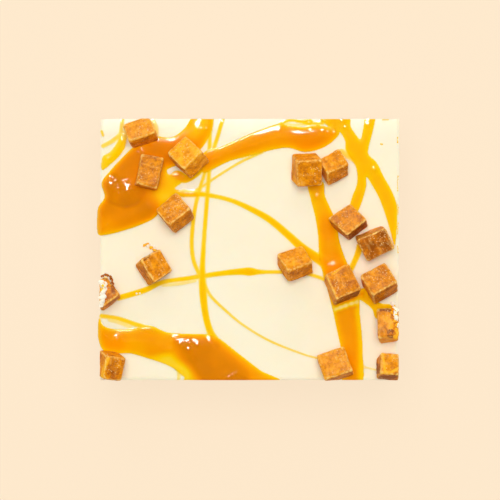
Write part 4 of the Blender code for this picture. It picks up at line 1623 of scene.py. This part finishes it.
@dataclass
class FudgePieces:
    """The fudge pieces: each solid's own form, with grainy faces, pits, chipped edges and pale rubbed edges
    that are partly painted highlight, and painted shade on upright and near faces.
    """

    count: int = 17
    voxel: float = 0.2
    merged: float = 0.001
    # The relief, in millimetres, and how wide its bumps are.
    coarse: float = 0.12
    coarse_size: float = 2.4
    grain: float = 0.07
    grain_size: float = 0.7
    chip: float = 0.3
    chip_size: float = 1.2
    mark: float = 0.03
    mark_size: float = 0.75
    mark_stretch: float = 0.22
    # Edges count as worn, and are painted lit, where they stand proud of the piece once it is smoothed.
    smoothing: float = 0.5
    edge_passes: int = 14
    worn_from: float = 0.026
    worn_band: float = 0.018
    # How worn the edges and the knife marks look, with their painted edge highlight: less so on the near
    # side, where painted shade falls.
    rub_least: float = 0.65
    rub_grain: float = 1.2
    mark_wear: float = 0.2
    mark_from: float = 0.2
    mark_band: float = 0.3
    near_shade_loss: float = 0.45
    # How much darker a face is: painted shade on upright faces, more on those turned to the near side, as
    # if lit from the far side above, and darker by its relief and from piece to piece.
    upright_from: float = 0.3
    upright_band: float = 0.4
    right_turn: float = 0.35
    side_shade_tone: float = 0.06
    near_shade_tone: float = 0.17
    coarse_tone: float = 0.16
    mark_tone: float = 0.05
    stray_tone: float = 0.04
    stroke_step: float = 0.1
    stroke_core: float = 1.2
    seed: int = 100
    # Fudge that swelled past its solid on one side or another: left, right, near and far.
    swollen: dict = field(default_factory=lambda: {
        1: (0.9, 0.0, 0.0, 0.0),
        2: (0.4, 0.0, 0.5, 0.3),
        3: (0.2, 0.4, 0.8, 0.4),
        4: (0.2, 0.1, 0.4, 0.3),
        8: (0.9, 0.1, 0.8, 0.5),
        9: (0.6, -0.4, 0.6, 0.1),
        10: (1.0, 0.3, 0.0, 0.0),
        11: (0.6, 0.0, 0.0, 0.2),
        12: (1.1, 0.7, 0.6, -0.2),
        14: (0.0, 0.5, 0.0, 0.4),
        15: (0.0, 0.0, 0.8, 0.0),
        17: (0.0, 1.1, 0.0, 0.3),
    })
    # How much darker the upward face of a piece is than the others' are.
    top_tone: dict = field(default_factory=lambda: {
        2: 0.16, 3: -0.2, 4: 0.07, 5: 0.05, 6: 0.16, 7: 0.12, 8: 0.12, 10: 0.1, 11: 0.32, 13: 0.17,
        14: 0.15, 15: 0.06, 16: -0.05,
    })
    # How much darker its near face is, on top of the painted shade of near faces: partly the face's own
    # colour and partly more painted shade.
    near_face_tone_and_shade: dict = field(default_factory=lambda: {
        1: -0.1, 3: -0.06, 9: 0.1, 10: 0.2, 13: 0.3, 14: 0.14, 15: -0.4,
    })
    # Dark and pale lines painted on the pieces: routes in plan, widths and tones. Some dark lines are the
    # fudge's own marks, and the dark patches over faces and the pale lines along ridges are painted shade
    # and painted highlight.
    strokes: tuple = (
        Stroke(15, ((34.6, -15.9), (36.6, -15.9), (38.0, -16.6), (38.6, -18.6)), 0.55, 0.5),
        Stroke(15, (
            (36.9, -22.0), (37.4, -21.4), (38.1, -21.7), (38.3, -22.5), (37.7, -23.1), (37.0, -22.9),
        ), 0.42, 0.55),
        Stroke(15, ((36.6, -18.6), (37.6, -19.4), (37.4, -20.6)), 0.9, -0.3),
        Stroke(7, ((-37.3, -28.9), (-38.3, -31.4), (-39.3, -34.2)), 0.5, -0.5),
        Stroke(7, ((-36.2, -31.2), (-35.4, -33.0), (-35.8, -34.6)), 1.3, 0.2),
        Stroke(6, ((-38.9, -7.6), (-37.2, -7.9), (-36.3, -9.6), (-35.8, -11.4)), 0.55, 0.4),
        Stroke(16, ((33.9, -31.0), (34.1, -33.4)), 1.0, 0.4),
        Stroke(16, ((34.0, -33.6), (35.6, -32.6), (37.3, -32.6), (39.4, -31.5)), 0.35, -0.4),
        Stroke(16, ((35.3, -34.2), (37.4, -33.9), (39.4, -33.1)), 0.8, 0.35),
        Stroke(16, ((35.4, -27.6), (36.0, -32.2)), 0.35, -0.35),
        Stroke(5, ((-27.6, -2.6), (-26.0, -0.9)), 0.5, 0.5),
        Stroke(13, ((22.0, -6.6), (24.2, -5.0), (26.0, -4.0)), 0.4, -0.25),
        Stroke(13, ((21.2, -8.2), (22.6, -11.4), (23.4, -13.2)), 0.4, -0.25),
    )

    def build(self, material: bpy.types.Material) -> list[bpy.types.Object]:
        """Models every fudge piece and puts each in its solid's place.

        Args:
            material: The fudge's material.

        Returns:
            The finished pieces.
        """
        made = []
        for number in range(1, self.count + 1):
            piece = self._copied(f"fudge_{number:02d}")
            self._stretch(piece, number)
            apply_modifier(piece, "REMESH", mode="VOXEL", voxel_size=self.voxel * MM)
            self._roughen(piece, number)
            shade(piece, degrees=80)
            dress(piece, material)
            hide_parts(f"fudge_{number:02d}")
            made.append(piece)
        return made

    def _copied(self, node: str) -> bpy.types.Object:
        """Copies one piece's solid and merges the copy's loose triangles.

        Args:
            node: The solid's name.

        Returns:
            The copy.
        """
        solid = bpy.data.objects[node]
        piece = bpy.data.objects.new(f"butter_{node}", solid.data.copy())
        bpy.context.scene.collection.objects.link(piece)
        make_active(piece)
        bpy.ops.object.mode_set(mode="EDIT")
        bpy.ops.mesh.select_all(action="SELECT")
        bpy.ops.mesh.remove_doubles(threshold=self.merged * MM)
        finish_editing()
        return piece

    def _stretch(self, piece: bpy.types.Object, number: int) -> None:
        """Swells a piece a little past its solid, on the sides where it does.

        Args:
            piece: The piece.
            number: Its number.
        """
        left, right, near, far = self.swollen.get(number, (0.0, 0.0, 0.0, 0.0))
        points = vertices_of(piece)
        low, high = points[:, :2].min(axis=0), points[:, :2].max(axis=0)
        new_low, new_high = low - (left, near), high + (right, far)
        points[:, :2] = new_low + (points[:, :2] - low) * (new_high - new_low) / (high - low)
        move_vertices(piece, points)

    def _roughen(self, piece: bpy.types.Object, number: int) -> None:
        """Gives a piece the fine relief of cut fudge, and paints its wear, its painted edge highlight and
        its tone, which holds painted shade on upright and near faces.

        Args:
            piece: The remeshed piece.
            number: Its number.
        """
        sharp = vertices_of(piece)
        apply_modifier(piece, "SMOOTH", factor=self.smoothing, iterations=self.edge_passes)
        soft, facing = vertices_of(piece), normals_of(piece)
        proud = ((sharp - soft) * facing).sum(axis=1)
        worn_and_lit = np.clip((proud - self.worn_from) / self.worn_band, 0, 1)
        move_vertices(piece, sharp)
        apply_modifier(piece, "SMOOTH", factor=self.smoothing, iterations=1)
        points = vertices_of(piece)
        coarse = noise_at(points, self.coarse_size, seed=number)
        grain = noise_at(points, self.grain_size, seed=number + 0.5)
        chips = np.clip(noise_at(points, self.chip_size, seed=number + 7.3), 0, 1)
        marks = self._cut_marks(points, facing, number)
        relief = self.coarse * coarse + self.grain * grain + self.mark * marks
        relief -= self.chip * chips * worn_and_lit
        move_vertices(piece, points + facing * relief[:, None])
        # Painted shade: upright faces, and more so those turned to the near side, are painted darker
        # through the tone.
        side = 1 - np.clip((facing[:, 2] - self.upright_from) / self.upright_band, 0, 1)
        near = np.clip(self.right_turn * facing[:, 0] - facing[:, 1], 0, 1)
        tone = side * (self.side_shade_tone + self.near_shade_tone * near)
        tone += (1 - side) * self.top_tone.get(number, 0.0)
        tone += side * near * self.near_face_tone_and_shade.get(number, 0.0) + self._stroke_tone(points, number)
        draw = random.Random(self.seed + number)
        tone = tone + self.coarse_tone * coarse - self.mark_tone * marks
        tone += draw.uniform(-self.stray_tone, self.stray_tone)
        # The pale edges are rubbed wear and painted edge highlight together, painted weaker on the near
        # side, where shade falls.
        rubbed_and_lit = worn_and_lit * np.clip(self.rub_least + self.rub_grain * grain, 0, 1)
        scraped = self.mark_wear * np.clip((marks - self.mark_from) / self.mark_band, 0, 1)
        rubbed_and_lit = np.maximum(rubbed_and_lit, scraped)
        paint(piece, "worn_and_lit", rubbed_and_lit * (1 - self.near_shade_loss * near * side))
        paint(piece, "tone", tone)

    def _stroke_tone(self, points: np.ndarray, number: int) -> np.ndarray:
        """Works out how much the strokes on a piece darken it.

        Args:
            points: The piece's points.
            number: Its number.

        Returns:
            What they add to the tone of each point.
        """
        tone = np.zeros(len(points))
        for stroke in self.strokes:
            if stroke.number == number:
                path = smooth_path(stroke.route, self.stroke_step, closed=False)
                distance = nearest(path, points[:, 0], points[:, 1])[0]
                tone += stroke.tone * np.clip(self.stroke_core - (distance / stroke.width) ** 2, 0, 1)
        return tone

    def _cut_marks(self, points: np.ndarray, facing: np.ndarray, number: int) -> np.ndarray:
        """Works out the streaks that a knife drew along one side of a piece.

        Args:
            points: The piece's points.
            facing: The outward direction at each of them.
            number: Its number.

        Returns:
            The streaks at each point, about -1 to 1.
        """
        sides = facing[np.abs(facing[:, 2]) < 0.5]
        # The fourth power turns all four sides of a square piece to one direction.
        turn = np.angle(((sides[:, 0] + 1j * sides[:, 1]) ** 4).mean()) / 4 + math.pi / 2 * (number % 2)
        along = points[:, 0] * math.cos(turn) + points[:, 1] * math.sin(turn)
        across = points[:, 1] * math.cos(turn) - points[:, 0] * math.sin(turn)
        streaks = np.column_stack([self.mark_stretch * along, across, points[:, 2]])
        return noise_at(streaks, self.mark_size, seed=number + 3.1)


@dataclass(frozen=True)
class Smear:
    """A short trail of crumbs: its route in plan, their radius, how many there are and their tone."""

    route: tuple
    radius: float
    count: int
    tone: float = 0.0


@dataclass
class Crumbs:
    """One kind of crumb, as a single piece: trails of small uneven lumps on what lies under them."""

    name: str
    smears: tuple
    seed: int
    route_step: float = 0.05
    stray: float = 0.5
    sizes: tuple = (0.6, 1.2)
    stretches: tuple = (0.8, 1.3)
    squash: float = 0.4
    raised: float = 0.2
    lumpiness: float = 0.45
    lump_size: float = 0.9
    lump_kinds: float = 50.0
    depth: float = 0.35
    look_from: float = 100.0

    def build(self, material: bpy.types.Material, slot: Slot) -> bpy.types.Object:
        """Models the crumbs.

        Args:
            material: Their material.
            slot: Not used.

        Returns:
            The finished piece.
        """
        draw = random.Random(self.seed)
        lumps = [lump for smear in self.smears for lump in self._trail(smear, draw)]
        deselect_all()
        for lump in lumps:
            lump.select_set(True)
        bpy.context.view_layer.objects.active = lumps[0]
        bpy.ops.object.join()
        crumbs = bpy.context.object
        crumbs.name = self.name
        bpy.ops.object.transform_apply(location=True, rotation=True, scale=True)
        count = len(crumbs.data.vertices)
        paint(crumbs, "depth", np.full(count, self.depth))
        paint(crumbs, "worn_and_lit", np.zeros(count))
        shade(crumbs, degrees=60)
        dress(crumbs, material)
        return crumbs

    def _trail(self, smear: Smear, draw: random.Random) -> list[bpy.types.Object]:
        """Models the crumbs of one smear, spread along its route.

        Args:
            smear: The smear.
            draw: Where the random numbers come from.

        Returns:
            The crumbs.
        """
        path = smooth_path(smear.route, self.route_step, closed=False)
        lumps = []
        for i in range(smear.count):
            at = path[min(len(path) - 1, round((i + 0.5) / smear.count * len(path)))]
            stray = [draw.uniform(-self.stray, self.stray) * smear.radius for _ in range(2)]
            radius = smear.radius * draw.uniform(*self.sizes)
            lump = self._lump(at[0] + stray[0], at[1] + stray[1], radius, draw)
            paint(lump, "tone", np.full(len(lump.data.vertices), smear.tone))
            lumps.append(lump)
        return lumps

    def _lump(self, x: float, y: float, radius: float, draw: random.Random) -> bpy.types.Object:
        """Models one crumb, set into what lies under its place.

        Args:
            x: Its place along the slice.
            y: Its place across it.
            radius: Its radius.
            draw: Where the random numbers come from.

        Returns:
            The crumb.
        """
        deselect_all()
        place = (x * MM, y * MM, (self._ground(x, y) + self.raised * radius) * MM)
        bpy.ops.mesh.primitive_ico_sphere_add(subdivisions=3, radius=1.0, location=place)
        lump = bpy.context.object
        points = vertices_of(lump) * MM
        uneven = noise_at(points, self.lump_size, seed=draw.uniform(0, self.lump_kinds))
        points *= 1 + self.lumpiness * uneven[:, None]
        lump.data.vertices.foreach_set("co", points.ravel())
        stretch = draw.uniform(*self.stretches)
        lump.scale = Vector((radius * stretch, radius / stretch, radius * self.squash)) * MM
        lump.rotation_euler = (0, 0, draw.uniform(0, math.tau))
        return lump

    def _ground(self, x: float, y: float) -> float:
        """Finds what lies under a place in plan.

        Args:
            x: The place along the slice.
            y: The place across it.

        Returns:
            The height of the highest face there.
        """
        graph = bpy.context.evaluated_depsgraph_get()
        start = Vector((x * MM, y * MM, self.look_from * MM))
        hit, place, *_ = bpy.context.scene.ray_cast(graph, start, Vector((0, 0, -1)))
        return place.z / MM if hit else TOP


FUDGE_CRUMBS = (
    Smear(((-27.9, 1.0), (-27.0, 1.3)), 0.42, 4, -0.4),
    Smear(((-26.2, 0.7), (-25.1, -0.4)), 0.4, 5, -0.3),
    Smear(((-39.3, -7.0), (-37.7, -6.8), (-36.7, -7.7), (-35.9, -10.1)), 0.3, 18, 0.4),
    Smear(((-38.7, -8.0), (-37.4, -8.5), (-36.9, -10.0)), 0.26, 9, 0.05),
    Smear(((-38.7, -9.1), (-37.9, -9.8), (-39.1, -10.2), (-38.6, -11.9), (-39.2, -13.4)), 0.34, 9, -0.15),
    Smear(((38.1, -15.2), (38.2, -17.0), (38.6, -18.8)), 0.5, 6, 0.0),
    Smear(((39.0, -18.4), (39.1, -20.6), (38.9, -23.4)), 0.5, 9, -0.3),
    Smear(((38.6, -20.6), (38.4, -22.6)), 0.4, 4, 0.1),
)
CHOCOLATE_CRUMBS = (
    Smear(((-27.6, 1.8), (-26.8, 0.5)), 0.34, 3),
    Smear(((-26.4, 1.4), (-24.9, 0.6)), 0.34, 4),
    Smear(((-39.2, -8.3), (-38.6, -9.8), (-38.5, -11.4), (-38.9, -13.4), (-39.3, -14.6)), 0.66, 15),
    Smear(((-38.0, -8.6), (-37.9, -10.4)), 0.42, 4),
    Smear(((38.3, -14.4), (38.7, -16.2), (39.1, -18.2)), 0.55, 9),
    Smear(((39.5, -19.6), (39.4, -20.8)), 0.2, 4),
    Smear(((-30.2, -11.6), (-27.2, -12.0)), 0.22, 4),
)
CARAMEL_CRUMBS = (
    Smear(((39.6, 30.0), (39.6, 28.6)), 0.16, 6),
    Smear(((39.7, 19.6), (39.6, 17.4), (39.7, 15.6)), 0.15, 14),
    Smear(((39.6, 12.2), (39.7, 10.6), (39.6, 9.2)), 0.17, 10),
    Smear(((39.7, 7.2), (39.6, 4.0)), 0.15, 12),
    Smear(((39.6, 1.0), (39.7, -1.0)), 0.14, 8),
    Smear(((35.6, 28.0), (35.2, 28.1)), 0.2, 2),
    Smear(((-38.6, -9.4), (-39.2, -11.0)), 0.3, 3),
    Smear(((38.8, -15.0), (39.1, -17.4)), 0.3, 3),
)


@dataclass(frozen=True)
class Softbox:
    """A square area light that faces the slice: its place, the length of its side and its power."""

    name: str
    place: tuple
    size: float
    watts: float


@dataclass
class Studio:
    """A pale paper floor, soft light from the far side and all round, and the camera above."""

    floor_size: float = 3000.0
    # The camera hangs straight above one point of the slice, and its lens follows from the picture's
    # width in pixels and how many of them a millimetre of the slice takes up.
    camera_height: float = 900.0
    picture_pixels: float = 500.0
    pixels_per_mm: float = 3.75
    view_middle: tuple = (0.267, -0.133)
    sensor: float = 36.0
    farthest: float = 20000.0
    # The far lamp is for the glints alone, and the two wide softboxes cast none.
    glint_lamp: Softbox = Softbox("far_lamp", (-130, 480, 800), 240, 18.0)
    wide_lamps: tuple = (
        Softbox("far_softbox", (0, 1000, 700), 700, 1.5),
        Softbox("top_softbox", (0, 200, 1400), 900, 15.7),
    )
    # The sky's colour at the sine of its height: bright low down, dim overhead.
    sky_ring: tuple = (
        (0.0, "E0DDD8"),
        (0.35, "F0EDE8"),
        (0.55, "9C9A96"),
        (0.84, "7C7A77"),
        (0.94, "484644"),
    )
    near_share: float = 0.85
    sky_strength: float = 0.8

    def build(self) -> None:
        """Sets up the floor, the lights, the sky and the camera."""
        self._lay_floor()
        self._hang_lights()
        self._light_sky()
        self._place_camera()
        bpy.context.scene.view_settings.view_transform = "Standard"

    def _lay_floor(self) -> None:
        """The paper floor under the slice."""
        deselect_all()
        bpy.ops.mesh.primitive_plane_add(size=self.floor_size * MM, location=(0, 0, 0))
        floor = bpy.context.object
        floor.name = "paper_floor"
        floor.data.materials.append(StudioFloor().make())

    def _hang_lights(self) -> None:
        """Hangs the lamp for the glints and the wide softboxes."""
        self._hang(self.glint_lamp).visible_diffuse = False
        for softbox in self.wide_lamps:
            self._hang(softbox).visible_glossy = False

    @staticmethod
    def _hang(softbox: Softbox) -> bpy.types.Object:
        """Hangs one light, turned to the slice.

        Args:
            softbox: Its name, place, size and power.

        Returns:
            The light.
        """
        lamp = bpy.data.lights.new(softbox.name, "AREA")
        lamp.size = softbox.size * MM
        lamp.energy = softbox.watts
        obj = bpy.data.objects.new(softbox.name, lamp)
        bpy.context.scene.collection.objects.link(obj)
        obj.location = Vector(softbox.place) * MM
        obj.rotation_euler = (-obj.location).to_track_quat("-Z", "Y").to_euler()
        return obj

    def _light_sky(self) -> None:
        """Soft light from low all round, weaker from above, where the camera hangs."""
        world = bpy.data.worlds.new("studio_tent")
        bpy.context.scene.world = world
        world.use_nodes = True
        tree = world.node_tree
        tree.nodes.clear()
        place = add_node(tree, "ShaderNodeTexCoord").outputs["Generated"]
        up = add_node(tree, "ShaderNodeSeparateXYZ", {}, {0: place})
        ring = add_node(tree, "ShaderNodeValToRGB", {}, {"Fac": up.outputs["Z"]})
        set_ramp(ring, self.sky_ring)
        least, most = self.sky_strength * self.near_share, self.sky_strength * (2 - self.near_share)
        bias_settings = {"From Min": -1.0, "To Min": least, "To Max": most}
        bias = add_node(tree, "ShaderNodeMapRange", bias_settings, {"Value": up.outputs["Y"]})
        sky_links = {"Color": ring.outputs["Color"], "Strength": bias.outputs[0]}
        sky = add_node(tree, "ShaderNodeBackground", {}, sky_links)
        add_node(tree, "ShaderNodeOutputWorld", links={"Surface": sky.outputs[0]})

    def _place_camera(self) -> None:
        """The camera, straight above the slice and far enough off to see it almost without depth."""
        data = bpy.data.cameras.new("camera_above")
        data.sensor_width = self.sensor
        data.lens = self.sensor * self.camera_height * self.pixels_per_mm / self.picture_pixels
        data.clip_end = self.farthest * MM
        camera = bpy.data.objects.new("camera_above", data)
        bpy.context.scene.collection.objects.link(camera)
        x, y = self.view_middle
        camera.location = (x * MM, y * MM, (TOP + self.camera_height) * MM)
        bpy.context.scene.camera = camera


def main() -> None:
    """Builds every piece in order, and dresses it."""
    logging.basicConfig(level=logging.INFO, format="%(name)s: %(message)s")
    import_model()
    Studio().build()
    surface = ChocolateSurface()
    BakedBody().build(BakedCrumb())
    chocolate = WhiteChocolate().make()
    ChocolateSlab(surface).build(chocolate)
    caramel = PouredCaramel().make()
    CaramelSheet(CaramelField(), surface).build(caramel)
    EdgeDrips().build(caramel)
    fudge = FudgeFinish().make()
    FudgePieces().build(fudge)
    Crumbs("fudge_crumbs", FUDGE_CRUMBS, seed=3).build(fudge, Slot.FUDGE)
    smeared = WhiteChocolate("smeared_white_chocolate", "FFF2D6", "FFF8E6", scatter=0.1).make()
    Crumbs("white_chocolate_crumbs", CHOCOLATE_CRUMBS, seed=8).build(smeared, Slot.CHOCOLATE)
    Crumbs("caramel_drops", CARAMEL_CRUMBS, seed=4).build(caramel, Slot.CARAMEL)


if __name__ == "__main__":
    main()
